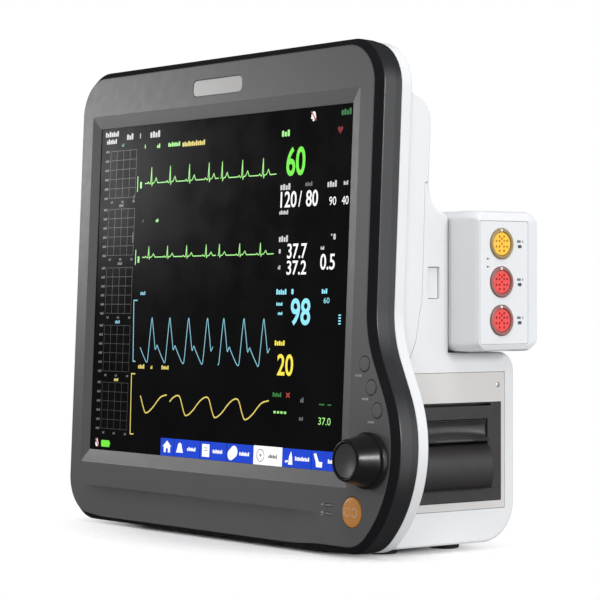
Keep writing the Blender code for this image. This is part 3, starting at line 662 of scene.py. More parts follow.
# ---- display
GREEN_GLOW = glow("green", (0.16, 0.80, 0.05), 1.0)
PALE_GREEN = glow("pale_green", (0.36, 0.86, 0.24), 0.95)
DIM_GREEN = glow("dim_green", (0.04, 0.22, 0.06), 0.8)
WHITE_GLOW = glow("white", (0.95, 0.95, 0.95), 1.0)
GREY_GLOW = glow("grey", (0.16, 0.17, 0.17), 0.8)
GRID_GLOW = glow("grid", (0.060, 0.062, 0.058), 0.8)
BLUE_GLOW = glow("blue", (0.24, 0.56, 0.68), 0.9)
CYAN_GLOW = glow("cyan", (0.27, 0.76, 0.90), 1.0)
YELLOW_GLOW = glow("yellow", (0.92, 0.77, 0.07), 1.0)
AMBER_GLOW = glow("amber", (0.80, 0.66, 0.16), 0.9)
RED_GLOW = glow("red", (0.50, 0.06, 0.05), 0.9)
HEART_GLOW = glow("heart", (0.20, 0.014, 0.014), 0.9)
CAPTION_GLOW = glow("caption", (0.60, 0.60, 0.60), 0.9)
BAR_GLOW = glow("bar_blue", (0.012, 0.060, 0.62), 0.95)


def lit_slab(points, level=1):
    """A lit shape on the glass. A higher level lies over a lower one."""
    return slab(points, GLASS - 0.05, GLASS + 0.03 * level, FRONT)


def stroke(points, width, level=2):
    """A lit line: a bar for each stretch and a disc at each bend."""
    parts = []
    for a, b in zip(points, points[1:]):
        along = (Vector(b) - Vector(a)).normalized() * width / 2
        across = Vector((-along.y, along.x))
        ends = [Vector(a) - across, Vector(b) - across, Vector(b) + across, Vector(a) + across]
        parts.append(lit_slab([tuple(p) for p in ends], level))
    for point in points[1:-1]:
        parts.append(lit_slab(arc(*point, width / 2, 0, 315, 45), level))
    return parts


def caption(left, right, foot, top, level=2):
    """A run of small blank blocks, where the display has a word."""
    pitch = (top - foot) * 0.62
    count = max(1, round((right - left) / pitch))
    step = (right - left) / count
    blocks = []
    for i in range(count):
        tall = (0.78, 1.0, 0.7, 0.9)[(i * 3 + count) % 4] * (top - foot)
        span = (left + step * i + step * 0.1, left + step * (i + 0.86))
        blocks.append(lit_slab(rounded(span, (foot, foot + tall), 0.18 * step, 45), level))
    return blocks


def captions(*spans, level=2):
    """Blank words, each from its (left, right, foot, top)."""
    return [block for span in spans for block in caption(*span, level)]


def number(text, left, right, foot, top, weight=0.012):
    """A reading, in Blender's own font, fitted to its place on the display."""
    curve = bpy.data.curves.new("reading", "FONT")
    curve.body = text
    curve.extrude = 0.02
    curve.offset = weight
    curve.resolution_u = 4
    writing = add_object("reading", curve)
    mesh = evaluated_mesh(writing)
    bpy.data.objects.remove(writing)
    work = bmesh.new()
    work.from_mesh(mesh)
    bmesh.ops.remove_doubles(work, verts=work.verts, dist=1e-5)
    xs, ys = [v.co.x for v in work.verts], [v.co.y for v in work.verts]
    for vert in work.verts:
        vert.co.x = left + (vert.co.x - min(xs)) / (max(xs) - min(xs)) * (right - left)
        vert.co.y = foot + (vert.co.y - min(ys)) / (max(ys) - min(ys)) * (top - foot)
        vert.co.z = GLASS + 0.06 if vert.co.z > 0 else GLASS - 0.05
    return shape(work, FRONT)


def numbers(*readings):
    return [number(*reading) for reading in readings]


def show(name, coat, *groups):
    """One piece of the display from lists of lit shapes."""
    lit = merge([one for group in groups for one in group])
    piece(lit, name, coat)


def heart_trace(base, tall, beats, start, end):
    """A heart trace: a small bump, a spike and a rounded bump at each beat."""
    points = [(start, base)]
    for r in beats:
        bump = [(r - 5.4, 0), (r - 4.3, 0.09), (r - 3.2, 0), (r - 1.9, -0.05), (r - 1.0, 0.02)]
        spike = [(r, 1.0), (r + 0.9, -0.17), (r + 2.0, 0.0), (r + 4.2, 0.02)]
        wave = [(r + 5.6, 0.16), (r + 6.9, 0.33), (r + 8.0, 0.16), (r + 9.2, 0.0)]
        points += [(u, base + tall * share) for u, share in bump + spike + wave]
    return [p for p in points if start <= p[0] <= end] + [(end, base + 0.2)]


def pulse_trace(peaks, start, end):
    """A pulse trace: sharp rise, fall, a small second bump, slow run-off."""
    low, high = 133.0, 169.2
    shape_points = [
        (-5.9, low), (-4.9, low + 0.8), (-4.1, low + 5), (-1.3, high - 6), (0, high),
        (1.3, high - 5), (3.9, 153), (5.9, 144.0), (7.2, 145.0), (8.6, 147.0),
        (10.0, 145.0), (15.0, 138.5), (18.6, low + 1.2),
    ]
    run = [(p + u, v) for p in peaks for u, v in shape_points]
    return smooth_curve([p for p in run if start <= p[0] <= end], 3)


def breath_trace(troughs, start, end):
    low, high = 91.8, 107.3
    shape_points = [(-12.4, high), (-8.6, 105.4), (-4.6, 97.5), (-1.6, 92.6), (0.4, low)]
    shape_points += [(4, 92.8), (10, 96.6), (16.2, 102), (21.6, 105.6)]
    run = [(t + u, v) for t in troughs for u, v in shape_points] + [(end, high)]
    return smooth_curve([p for p in run if start <= p[0] <= end], 4)


GRIDS = [(269.0, 308.3), (221.0, 259.5), (172.6, 210.6), (124.4, 162.6), (76.5, 115.0)]
GRID_X = (-154.0, -115.0)


def trend_grids():
    lines, ticks = [], []
    for foot, top in GRIDS:
        for i in range(5):
            u = GRID_X[0] + (GRID_X[1] - GRID_X[0]) * i / 4
            lines += stroke([(u, foot), (u, top)], 0.45, 1)
        for i in range(6):
            v = foot + (top - foot) * i / 5
            lines += stroke([(GRID_X[0], v), (GRID_X[1], v)], 0.36, 1)
            ticks += caption(-161.6, -156.2, v - 1.1, v + 1.1)
        for u in (-151.5, -135.5, -118.6):
            ticks += caption(u, u + 3.2, foot - 4.4, foot - 2.4)
    show("display_grids", GRID_GLOW, lines)
    ticks += captions((-138.5, -132, 261.2, 264), (-137.5, -131, 212.9, 215.6))
    ticks += stroke([(-116.3, 231.2), (-116.3, 239.5)], 0.8)
    ticks += stroke([(-116.2, 270.5), (-117, 267)], 0.8)
    show("display_grid_numbers", GREY_GLOW, ticks)


def readings():
    show("reading_heart_rate", GREEN_GLOW, numbers(("60", 90.1, 113.4, 277.2, 299.4, 0.02)))
    show(
        "reading_pressures",
        WHITE_GLOW,
        numbers(
            ("120", 84.4, 104.2, 253.5, 265.8), ("80", 115.9, 130.3, 253.5, 265.8),
            ("90", 143.9, 152.1, 253.6, 259.9, 0), ("40", 158.7, 166.5, 253.6, 259.9, 0),
            ("37.7", 95, 119, 214.8, 226.2), ("37.2", 95, 119, 202.6, 213.4),
            ("0.5", 135.7, 153, 206, 217.9),
        ),
        stroke([(107.2, 253.7), (110, 265.6)], 1.1),
    )
    show(
        "reading_oxygen",
        CYAN_GLOW,
        numbers(("98", 101.9, 125.9, 164.6, 185.1, 0.02), ("60", 141.4, 148.3, 181.3, 185.5, 0)),
        captions(
            (83, 96, 187.8, 192), (101.6, 105, 188, 192), (83.6, 91.4, 179.4, 182),
            (86, 91.8, 172.4, 174.8), (138.6, 145.5, 188.4, 192.2),
        ),
        *[stroke([(159.6, v), (162.4, v)], 1.1) for v in (166.3, 168.4, 170.5, 172.6)],
    )
    breaths = numbers(("20", 87.5, 107.2, 126.6, 143, 0.015))
    show("reading_breaths", YELLOW_GLOW, breaths, caption(83.2, 96.1, 149.3, 153.2))
    show(
        "reading_second_temperature",
        PALE_GREEN,
        numbers(("37.0", 140, 154.6, 91.8, 97.2, 0)),
        captions(
            (82.9, 93.4, 307.6, 312.6), (-69.3, -52.1, 307.9, 311.6), (-103.4, -101.8, 308.4, 311.6),
            (-85.4, -80.6, 307.8, 311.4), (-83.4, -79.2, 247.2, 250), (-108.4, -105.2, 275.6, 281),
            (-108, -104.8, 214.4, 219.6),
        ),
        *[stroke([(u, 99), (u + 2.8, 99)], 1.8) for u in (85, 89.3, 93.6, 97.9)],
    )


def small_captions():
    white = captions(
        (-163.2, -142.8, 320.6, 325.2), (-161, -145.3, 314.6, 318.8), (-130.7, -120.6, 316.9, 322),
        (-96.1, -81.2, 316.7, 322.4), (83.4, 96.4, 266.9, 271.9), (140.8, 152.5, 267, 271.9),
        (160.1, 165.6, 268, 271.2), (83.3, 94.6, 248.4, 251.7), (83.8, 95.6, 227.6, 232.6),
        (150, 153.5, 228.2, 232.4), (84.2, 87.2, 218.9, 222.2), (84.0, 87.2, 206.8, 210),
        (135.6, 140, 220.9, 223.6),
    )
    marks = stroke([(-110.4, 317.2), (-110.4, 321.4)], 0.9)
    marks.append(lit_slab(arc(148.2, 231.8, 0.8, 0, 315, 45)))
    show("display_white_captions", CAPTION_GLOW, white, marks)
    grey = captions(
        (114.3, 123.2, 268.8, 272.2), (117.4, 121.7, 107.3, 111.1), (116.6, 121.7, 93.9, 96.7)
    )
    show("display_faint_captions", GREY_GLOW, grey, stroke([(-102.3, 247.4), (-101.6, 249.8)], 0.6))
    green = captions(
        (154.7, 166.9, 319.5, 324.4), (82.9, 94.2, 110.5, 114), (-138, -134, 311.6, 314.2)
    )
    dashes = stroke([(140.4, 106.7), (146.6, 106.7)], 1.0) + stroke([(150.5, 106.7), (154.6, 106.7)], 1.0)
    show("display_dim_green_captions", DIM_GREEN, green, dashes)


def traces():
    greens = []
    for base, tall in ((279.4, 12.8), (218.7, 8.6)):
        greens += stroke(heart_trace(base, tall, (-91.8, -64.8, -37.8, -10.8), -101, 2.7), 0.8)
        greens += stroke(heart_trace(base, tall, (7.1, 34.0, 60.9), 5.2, 78), 0.8)
    greens += stroke([(-111.8, 273), (-111.8, 285.7)], 1.0)
    greens += stroke([(-110.9, 212.8), (-110.9, 225.1)], 1.0)
    show("trace_heart", PALE_GREEN, greens)
    blues = stroke(pulse_trace((-109.3, -83.2, -57.6, -31.2, -5.3), -99.8, 3.4), 0.85)
    blues += stroke(pulse_trace((16.6, 43.2, 68.8), 6.0, 78), 0.85)
    blues += stroke([(-105.6, 183.4), (-111, 183.4), (-109, 133.3), (-105.6, 133.3)], 1.0)
    blues += captions((-101.9, -94.4, 187.8, 190.8), (-138, -131, 164.2, 167))
    show("trace_pulse", BLUE_GLOW, blues)
    ambers = stroke(breath_trace([-87.5], -99, -58.2), 1.1)
    ambers += stroke(breath_trace((-70.2, -30.5, 9.2, 48.9), -55, 78.6), 1.1)
    ambers += stroke([(-105, 123.1), (-110.5, 123.1), (-109.3, 73.7), (-104.4, 73.7)], 1.0)
    ambers += captions(
        (-101.2, -91.8, 127.5, 131.2), (-83.1, -80.2, 127.6, 130.4), (-49.2, -17.4, 307, 311.2),
        (-67.4, -56.8, 127.7, 130.9), (-136.6, -130, 116.3, 118.9),
    )
    show("trace_breath", AMBER_GLOW, ambers)


def display_icons():
    heart = arc(152.6, 309.8, 1.6, 0, 200, 20) + [(154.2, 305.8)] + arc(155.8, 309.8, 1.6, -20, 180, 20)
    show("display_heart", HEART_GLOW, [lit_slab(heart)])
    bars = stroke([(100, 110.6), (104.2, 113.9)], 1.1) + stroke([(100, 113.9), (104.2, 110.6)], 1.1)
    bars += stroke([(118.6, 324.6), (124.8, 317.6)], 1.2, 3)
    bars += stroke([(-161.4, 67.6), (-156.4, 61.4)], 1.3, 3)
    show("display_red_icons", RED_GLOW, bars)
    bell = arc(121.6, 322.0, 2.5, 0, 180, 20) + [(118.6, 319), (124.6, 319)]
    drop = arc(-158.9, 63.4, 2.4, 180, 360, 20) + [(-158.9, 68.2)]
    clapper = arc(121.6, 318.1, 1.1, 0, 330, 30)
    show("display_alarm_icons", WHITE_GLOW, [lit_slab(outline) for outline in (bell, clapper, drop)])
    cell = [lit_slab(rounded((-152.3, -139.8), (61.2, 66.7), 0.9))]
    show("display_battery_icon", GREEN_GLOW, cell, stroke([(-139.6, 64), (-138.9, 64)], 2))


BAR_V = (58.5, 72.6)
BAR_MIDDLE = (BAR_V[0] + BAR_V[1]) / 2
CELLS = (-64.5, -45.2, -9.2, 26.2, 61.6, 97.8, 133.5, 168.7)
PICKED = 4


def on_bar(points):
    """Points given from the menu bar's middle line."""
    return [(u, BAR_MIDDLE + v) for u, v in points]


def menu_bar():
    """Seven cells with plain pictograms. The fifth cell is picked out."""
    cells = [rounded(grown(pair, -0.25), BAR_V, 0.3, 45) for pair in zip(CELLS, CELLS[1:])]
    del cells[PICKED]
    show("menu_cells", BAR_GLOW, [lit_slab(cell) for cell in cells])
    house = [(-59.5, -4.2), (-56.6, -4.2), (-56.6, -1), (-53.6, -1), (-53.6, -4.2), (-50.7, -4.2),
             (-50.7, 0.4), (-48.9, 0.4), (-55.1, 5.2), (-61.3, 0.4), (-59.5, 0.4)]
    bell = [(-42, -3.6), (-32.4, -3.6)] + arc(-37.2, 1.6, 2.7, 0, 180, 20)
    page = rounded((-6.3, 3.6), (-5, 5), 0.5)
    disc = arc(36.2, 1, 4.6, -60, 120, 15) + arc(32.2, -1.6, 4.2, 120, 300, 15)
    gauge = [(105.2, -5), (110.6, -5), (110, 1), (108.6, 5), (106.4, 1)]
    arrow = [(136, 4.6), (139, 5.2), (142.4, -1), (146.6, -1), (146.2, -5), (139.4, -5), (138.6, -1)]
    icons = [lit_slab(on_bar(points), 3) for points in (house, bell, page, disc, gauge, arrow)]
    foot, top = BAR_MIDDLE - 1.6, BAR_MIDDLE + 1.5
    for span in ((-27, -15), (8, 21), (43.2, 56.2), (113.5, 131), (153, 162)):
        icons += caption(*span, foot, top, 3)
    icons += stroke(on_bar([(101.5, -3), (105, -2.4)]), 1.5, 3)
    picked = rounded(CELLS[PICKED:PICKED + 2], (BAR_V[0] - 0.1, BAR_V[1] + 0.2), 0.3, 45)
    show("menu_icons", WHITE_GLOW, icons, [lit_slab(picked)])
    ring = arc(70.4, 0, 4.9, 0, 350, 10) + arc(70.4, 0, 4.3, 350, 0, 10)
    marks = [lit_slab(on_bar(ring), 3), *caption(80.4, 91.4, BAR_MIDDLE - 1.5, BAR_MIDDLE + 1.3, 3)]
    marks += stroke(on_bar([(70.4, 1.6), (70.4, -1.4)]), 0.7, 3)
    marks += stroke(on_bar([(68.8, 0.2), (72, 0.2)]), 0.7, 3)
    for v in (2, 0):
        marks += stroke(on_bar([(1.2, v), (-3.4, v)]), 0.5, 4)
    show("menu_grey_marks", GREY_GLOW, marks)


def display():
    trend_grids()
    readings()
    small_captions()
    traces()
    display_icons()
    menu_bar()


# ---- housings
def front_housing():
    """The white rim behind the bezel and the upper part of the case."""
    rims = [(1.0, -BEZEL_DEEP - GAP), (0.7, -BEZEL_DEEP - 0.6)]
    rims += [(2.5 - u, w + 1.8 - RIM_DEEP) for u, w in arc(0, 0, 1.8, 0, -90, 15)]
    housing = loft([(front_outline(d), w) for d, w in rims], FRONT)
    seam = SEAM[::-1]
    crown = [(65.9, 269.3), (66.5, 280), (66.9, 289.7), (67.7, 310)]
    upper = [behind(139.5, -29.5)] + seam + crown + arc(*SHOULDER, -6, 78, 4) + [behind(338.5, -29.5)]
    fixed = set(range(0, len(seam) + 1)) | {len(upper) - 1}
    y, z, r = SHOULDER
    inside = (
        [behind(144, -27.5), (64.4, 141), (64.4, 266.3), (63, 268), (63.9, 289.7), (64.7, 309.6)]
        + arc(y, z, r - WALL, -6, 78, 6)
        + [behind(336, -27.5)]
    )
    join(housing, rounded_prism(upper, 2.0, fixed))
    below = [behind(7.5, -26), behind(7.5, -36), behind(142, -36), behind(142, -26)]
    cut(
        housing,
        slab(front_outline(WALL + 0.6), WALL - RIM_DEEP, -20, FRONT),
        inside_case(inside),
        inside_case(below),
    )
    piece(housing, "front_case", WHITE, "front_housing")


def rounded_prism(profile, r, fixed):
    """A (Y, Z) profile across the case, its edges at both sides rounded."""
    soft = round_off(profile, r, 6, fixed)
    return loft([(p, h - SIDE) for p, h in soft] + [(p, SIDE - h) for p, h in soft[::-1]], RIGHT)


def inside_case(profile):
    """A cutter with a (Y, Z) profile, from one side wall to the other."""
    return slab(profile, WALL - SIDE, SIDE - WALL, RIGHT)


def rear_profile():
    """(Y, Z) outline of the rear housing, and the number of its seam points."""
    fall = smooth_curve(
        [(66.0, 269.0), (66.3, 266.0), (67.3, 260.0), (69.6, 254.2), (73.4, 250.2),
         (78.0, 248.3), (82.8, 246.6), (84.6, 244.2), (85.0, 241.0)], 4
    )
    lower = [behind(CASE_FOOT + 1.4, -RIM_DEEP - GAP), behind(139, -RIM_DEEP - GAP)]
    lower += [(y + GAP, z - 0.4) for y, z in SEAM[:0:-1]]
    profile = (
        [(SEAM[0][0] + GAP, 269)]
        + fall
        + [(85, LEDGE)]
        + arc(BACK - 14, LEDGE - 14, 14, 90, 0)
        + arc(BACK - 30, CASE_FOOT + 30, 30, 0, -90)
        + lower
    )[::-1]
    return profile, set(range(len(lower) - 1)) | {len(profile) - 1}


def rear_housing():
    profile, fixed = rear_profile()
    housing = rounded_prism(profile, 2.3, fixed)
    hollow = (
        [(20, CASE_FOOT + WALL), (20, 140.3), (40, 141), (50, 160), (50, 280), (58, 280)]
        + [(63.4, 266), (64.4, 259), (67, 252.4), (71.8, 247.6), (77.2, 245.4), (82, 242.4)]
        + [(82, LEDGE - WALL)]
        + arc(BACK - 14, LEDGE - 14, 14 - WALL, 90, 0, 15)
        + arc(BACK - 30, CASE_FOOT + 30, 30 - WALL, 0, -90, 15)
    )
    cut(housing, inside_case(hollow))
    for x in (-SIDE, SIDE):
        seat = rounded(PLATE_Y, PLATE_Z, 1)
        cut(housing, slab(seat, x - 2, x + 2, RIGHT))
        cut(housing, slab(rounded((46, 138.2), (31, 126)), x - 6, x + 6, RIGHT))
    cut(
        housing,
        soft_window(rounded(LATCH_Y, LATCH_Z, 1.2), SIDE, RIGHT, 6),
        soft_window(rounded(BATTERY_X, BATTERY_Z, BATTERY_R), -BACK, REAR, -5),
        soft_window(rounded(PORTS_X, PORTS_Z), -BACK, REAR, -5),
        slab(rounded((66, 90), (160, 235)), -90, -80, REAR),
        *[slot_cut((-150, -90), (z, z + 3)) for z in range(180, 215, 7)],
        *[slot_cut((x, x + 3.2), (155, 195)) for x in range(-60, -19, 8)],
    )
    piece(housing, "rear_case", WHITE, "rear_housing")


def soft_window(points, face, axes, deep):
    """A cutter with a slightly flared mouth, for a window in a wall."""
    out = 1 if deep > 0 else -1
    layers = [(inset(points, -0.7), face + 1.0 * out), (inset(points, -0.35), face)]
    layers += [(points, face - 0.45 * out), (points, face - deep)]
    return loft(layers, axes)


def slot_cut(x, z):
    wide = min(x[1] - x[0], z[1] - z[0]) / 2 - 0.1
    return slab(rounded(x, z, wide, 20), -90, -80, REAR)


# ---- recorder
def side_plate(low, high):
    edge = rounded(grown(PLATE_Y, -GAP), grown(PLATE_Z, -GAP), 0.8, 20)
    return slab(edge, low, high, RIGHT, 0.25, 2)


def recorder():
    plate = side_plate(SIDE - 1.7, SIDE)
    window = rounded(grown(RECORDER_Y, GAP), grown(RECORDER_Z, GAP), 0.5)
    cut(
        plate,
        slab(window, SIDE - 5, SIDE + 2, RIGHT),
        drum(2, SIDE - 5, SIDE + 1, RIGHT, SCREW_AT),
    )
    piece(plate, "recorder_fascia", PLATE, "recorder_plate")
    piece(screw(SCREW_AT, SIDE - 0.3, RIGHT, 1.75), "fascia_screw", STEEL, "recorder_plate_screw")

    body = block(RECORDER_Y, RECORDER_Z, (118, SIDE + 0.3), RIGHT, 0.35)
    cut(
        body,
        block((52, 122.8), (43, 95), (121, SIDE + 3), RIGHT),
        block((125, 134.4), (38, 96), (116, 190), RIGHT),
        block((49, 126), (104.6, 106.3), (SIDE - 6, SIDE + 3), RIGHT),
        block((122, 138), (42.7, 43.1), (SIDE - 0.4, SIDE + 3), RIGHT),
    )
    piece(body, "recorder_body", MATT_BLACK, "recorder_frame")
    recorder_door()
    recorder_latch()
    tube = [(6, -115.5), (20.5, -115.5), (20.5, -58.5), (6, -58.5)]
    core = [(5.9, -115.9), (6.6, -115.9), (6.6, -58.1), (5.9, -58.1)]
    roll = merge([turned(ring, REAR, PAPER_AXIS) for ring in (tube, core)])
    piece(roll, "paper_roll_wound", PAPER, "paper_roll", body="paper")
    half = [(0, -121), (1.6, -121), (1.6, -116), (4.4, -116), (4.6, -115.7)]
    other = [(4.6, -58.3), (4.4, -58), (1.6, -58), (1.6, -54), (0, -54)]
    roller = turned(half + other, REAR, PLATEN_AXIS)
    piece(roller, "platen", RUBBER, "platen_roller", body="platen")


def screw(at, top, axes, r, deep=3.2):
    """A pan-head screw with a cross recess."""
    head = [(0, top), (r * 0.6, top - 0.02), (r * 0.9, top - 0.14), (r, top - 0.45), (r, top - 0.9)]
    shank = [(r * 0.62, top - 0.9), (r * 0.62, top - deep), (0, top - deep)]
    one = turned(head + shank, axes, at, 32)
    arm = (top - 0.55, top + 1)
    return cut(
        one,
        block(*around(*at, r * 1.1, r * 0.26), arm, axes),
        block(*around(*at, r * 0.26, r * 1.1), arm, axes),
    )


def recorder_door():
    """A bulging door, hollow behind."""
    y0, y1 = DOOR_Y
    bulge = smooth_curve(
        [(200.6, 43.35), (202.6, 44.0), (204.2, 49.2), (205.1, 55.5), (205.0, 61.5),
         (203.9, 67.0), (201.9, 71.8), (199.4, 75.6), (197.4, 76.7)], 5
    )
    skin = [(194, 43.35)] + bulge + [(194, 76.7)]
    pocket = [
        (193, 46), (200.4, 46), (202, 50.4), (202.7, 57), (202.3, 62.4),
        (200.9, 68), (198.6, 71.9), (197, 73.6), (193, 73.6),
    ]
    door = slab(skin, -y1, -y0, REAR, 0.7)
    cut(door, slab(pocket, -y1 + 2.5, -y0 - 2.5, REAR))
    piece(door, "door_shell", DOOR_BLACK, "recorder_door", body="recorder_door")


def recorder_latch():
    """A latch whose finger scoop is deepest in the middle, with a bowed lip."""
    y0, y1 = DOOR_Y
    hollow = [(82.0, 0.35), (83.4, 0.78), (85.4, 0.97), (87.8, 1), (90.2, 0.86), (92.2, 0.5)]
    sections = []
    for i in range(25):
        share = i / 24
        bow = sin(pi * share)
        deep = 1.5 + 3.4 * bow**0.8
        lip = [(186, 78), (198.6, 77.9), (200.0, 78.5), (200.3, 79.4), (199.5, 80.3 + 0.6 * bow)]
        scoop = [(197.2 - deep * part, z + bow) for z, part in hollow]
        profile = lip + smooth_curve([lip[-1]] + scoop + [(197.0, 93.9)], 3)[1:]
        profile += [(196.8, 94.3), (187.5, 94.3), (186, 92.4)]
        sections.append((inset(profile, 0.3 if i in (0, 24) else 0.0), -(y0 + (y1 - y0) * share)))
    latch = loft(sections, REAR)
    node = body = "recorder_latch"
    piece(latch, "latch_scoop", SATIN_BLACK, node, body, sharp=50)


# ---- module
def vent(x):
    """The outline of an upright slot in the rack."""
    return rounded((x, x + 3), (176, 218), 1.4, 20)


def module_rack():
    """The tray that guides the module, with soft edges, vents and a screwed back."""
    rim = cut_corners(MODULE_Y, MODULE_Z, NEAR_CUT, NEAR_CUT, 2)
    layers = [(p, RACK_END + h) for p, h in round_off(rim, 2)]
    rack = loft(layers + [(rim, SIDE - 0.5), (inset(rim, 0.3), SIDE - 0.2)], RIGHT)
    spots = [(-x, z) for x in (70, 186) for z in (155.5, 238.5)]
    well = [(0, BACK + 1), (2.6, BACK + 1), (2.5, BACK - 1.3), (0, BACK - 1.3)]
    cut(
        rack,
        block((RACK_END + 3, SIDE + 2), (88.5, 146.5), (149, 245.2)),
        block((66, 90), (80, 90), (160, 235)),
        slab(rounded((80, 176), (162, 232), 5), -BACK - 1, 0.8 - BACK, REAR),
        slab(rounded((97, 138), (162, 232), 5), RACK_END - 2, RACK_END + 0.8, RIGHT),
        *[slab(vent(x), -BACK - 1, 5 - BACK, REAR) for x in range(92, 164, 8)],
        *[slab(vent(y), RACK_END - 2, RACK_END + 4, RIGHT) for y in range(104, 136, 8)],
        *[turned(well, OUT_BACK, spot, 32) for spot in spots],
    )
    piece(rack, "rack_wall", WHITE, "module_rack")
    screws = [screw(spot, BACK - 0.3, OUT_BACK, 2.1) for spot in spots]
    piece(merge(screws), "rack_screws", STEEL)


def plug_in_module():
    x = MODULE_FACE
    steps = [  # how far the near side and the others are in, and the height
        (0.4, 0.4, -27.8), (0, 0, -27.3), (0, 0, -18), (0.2, 0, -15), (0.55, 0, -12),
        (1.05, 0.1, -9), (1.6, 0.25, -6.2), (2.15, 0.5, -4.1), (2.7, 0.9, -2.6), (3.3, 1.5, -1.3),
    ]
    layers = []
    for near, rest, h in steps:
        span = (MODULE_Y[0] + near, MODULE_Y[1] - rest)
        layers.append((cut_corners(span, grown(MODULE_Z, -rest), NEAR_CUT, FAR_CUT, 2), x + h))
    small = (0.8, 0.8)
    flat = cut_corners(grown(LABEL_Y, 0.6), grown(LABEL_Z, 0.6), small, small, 0.3)
    shell = loft(layers + [(flat, x - 0.05), (inset(flat, 0.4), x)], RIGHT)
    join(shell, block((90, MODULE_TAIL), (89, 146), (149.5, 244.7), BASE, 0.8))
    cut(
        shell,
        block((88, x - 6), (91.5, 143.5), (152, 242.2)),
        slab(rounded(LABEL_Y, LABEL_Z, 1.6), x - 1, x + 2, RIGHT),
        *[drum(9.2, x - 8, x + 2, RIGHT, (SOCKET_Y, z)) for z in SOCKET_Z],
    )
    piece(shell, "module_shell", SHELL, "module_housing", body="plug_in_module")
    inner = grown(LABEL_Y, -0.35), grown(LABEL_Z, -0.35)
    face = slab(rounded(*inner, 1.5), x - 0.7, x + 0.05, RIGHT, 0.2, 2)
    cut(face, *[drum(11.7, x - 3, x + 2, RIGHT, (SOCKET_Y, z)) for z in SOCKET_Z])
    piece(face, "module_label", LABEL, "module_face", body="plug_in_module")
    for i, z in enumerate(SOCKET_Z, 1):
        pressure_socket(i, z)
    module_marks()


CONTACTS = [(0, 0), (0, 3.7)] + [(y, z) for z in (-5.2, 5.2) for y in (-2.2, 2.2)]
CONTACTS += [(y, z) for z in (-2.1, 2.1) for y in (-5.3, -2.3, 2.2, 5.2)]


def pressure_socket(i, z):
    """A flanged shell round a coloured insert with fourteen contacts. The discs sunk in the contact pits
    and the shell's brownish tone are darker copies of the insert's colour, painted shade.
    """
    x, at = MODULE_FACE, (SOCKET_Y, z)
    if i == 1:
        coat, ring_shade_coat, pit_shade_coat, slot = YELLOW, RING_AMBER_SHADED, YELLOW_PIT_SHADE, "yellow_insert"
    else:
        coat, ring_shade_coat, pit_shade_coat, slot = RED, RING_RED_SHADED, RED_PIT_SHADE, "red_insert"
    ring = [(8.75, x - 4), (8.75, x + 0.5), (8.95, x + 0.95), (9.3, x + 1.2), (10.4, x + 1.2)]
    ring += [(10.9, x + 1.05), (11.3, x + 0.6), (11.4, x + 0.1), (11.4, x - 0.7)]
    ring += [(9.1, x - 0.7), (9.1, x - 4)]
    # the collar's colour is painted shade of the groove round the insert
    collar = turned(ring, RIGHT, at, 96)
    cut(collar, block(*around(SOCKET_Y - 0.6, z + 9.9, 2.4, 3.0), (x - 1.4, x + 2), RIGHT))
    piece(collar, f"socket_collar_{i}", ring_shade_coat, f"socket_ring_{i}", body="plug_in_module")
    face = x + 0.35
    top = [(0, face), (7.9, face), (8.4, face - 0.12), (8.65, face - 0.5), (8.65, x - 9), (0, x - 9)]
    insert = turned(top, RIGHT, at, 96)
    places = [(SOCKET_Y + y, z + dz) for y, dz in CONTACTS]
    pit = [(0, face + 1), (1.2, face + 1), (0.95, face - 0.15), (0.95, face - 2.6), (0, face - 2.6)]
    cut(insert, *[turned(pit, RIGHT, spot, 16) for spot in places])
    piece(insert, f"socket_core_{i}", coat, f"socket_insert_{i}", body="plug_in_module")
    # discs in the insert's darker colour fill the pits: painted shade of the holes
    pit_shade_profile = [(0, face - 0.5), (0.6, face - 0.55), (0.9, face - 0.8), (0.9, face - 2.4), (0, face - 2.4)]
    contacts = merge([turned(pit_shade_profile, RIGHT, spot, 16) for spot in places])
    piece(contacts, f"socket_pit_shade_{i}", pit_shade_coat, body="plug_in_module")
    key = rounded(*around(SOCKET_Y - 0.6, z + 9.9, 2.0, 2.0), 0.5)
    tab = slab(key, x - 1.4, x + 1.1, RIGHT, 0.2, 2)
    piece(tab, f"socket_key_{i}", SHELL, body="plug_in_module")


def module_marks():
    """Two small lamps and a blank word and pictogram beside each socket."""
    x, marks = MODULE_FACE, []

    def blank(y, z, wide, tall, r=0.3, step=30, top=0.1):
        marks.append(slab(rounded(*around(y, z, wide, tall), r, step), x - 0.2, x + top, RIGHT))

    for z in SOCKET_Z:
        for y, wide in ((127.9, 1.6), (129.8, 1.4), (132.7, 0.7)):
            blank(y, z + 1.9, wide, 1.9)
        blank(129.6, z - 1.8, 3.8, 2.4, 0.8, 20, 0.12)
    lamp = [(0, x - 0.2), (0.75, x - 0.2), (0.7, x + 0.15), (0, x + 0.25)]
    for z in (213.6, 207.7):
        marks.append(turned(lamp, RIGHT, (97.6, z), 20))
        blank(99.1, z, 0.7, 0.9, 0.2)
    piece(merge(marks), "module_marks", DARK_PRINT, body="plug_in_module")


def module_latch():
    y, z = grown(LATCH_Y, -0.4), grown(LATCH_Z, -0.4)
    paddle = slab(rounded(y, z, 0.8, 20), SIDE - 9, SIDE - 1.8, RIGHT, 0.5, 3)
    piece(paddle, "module_catch", SHELL, "module_release_latch", body="module_latch")


# ---- left side
SOCKETS = (
    ("ecg_socket", (64, 103), 9.5, GREEN),
    ("spo2_socket", (64, 54), 8.5, BLUE),
    ("temp_socket_1", (96, 106), 6.0, GREY),
    ("temp_socket_2", (122, 106), 6.0, GREY),
    ("nibp_port", (108, 60), 9.0, GREY),
)


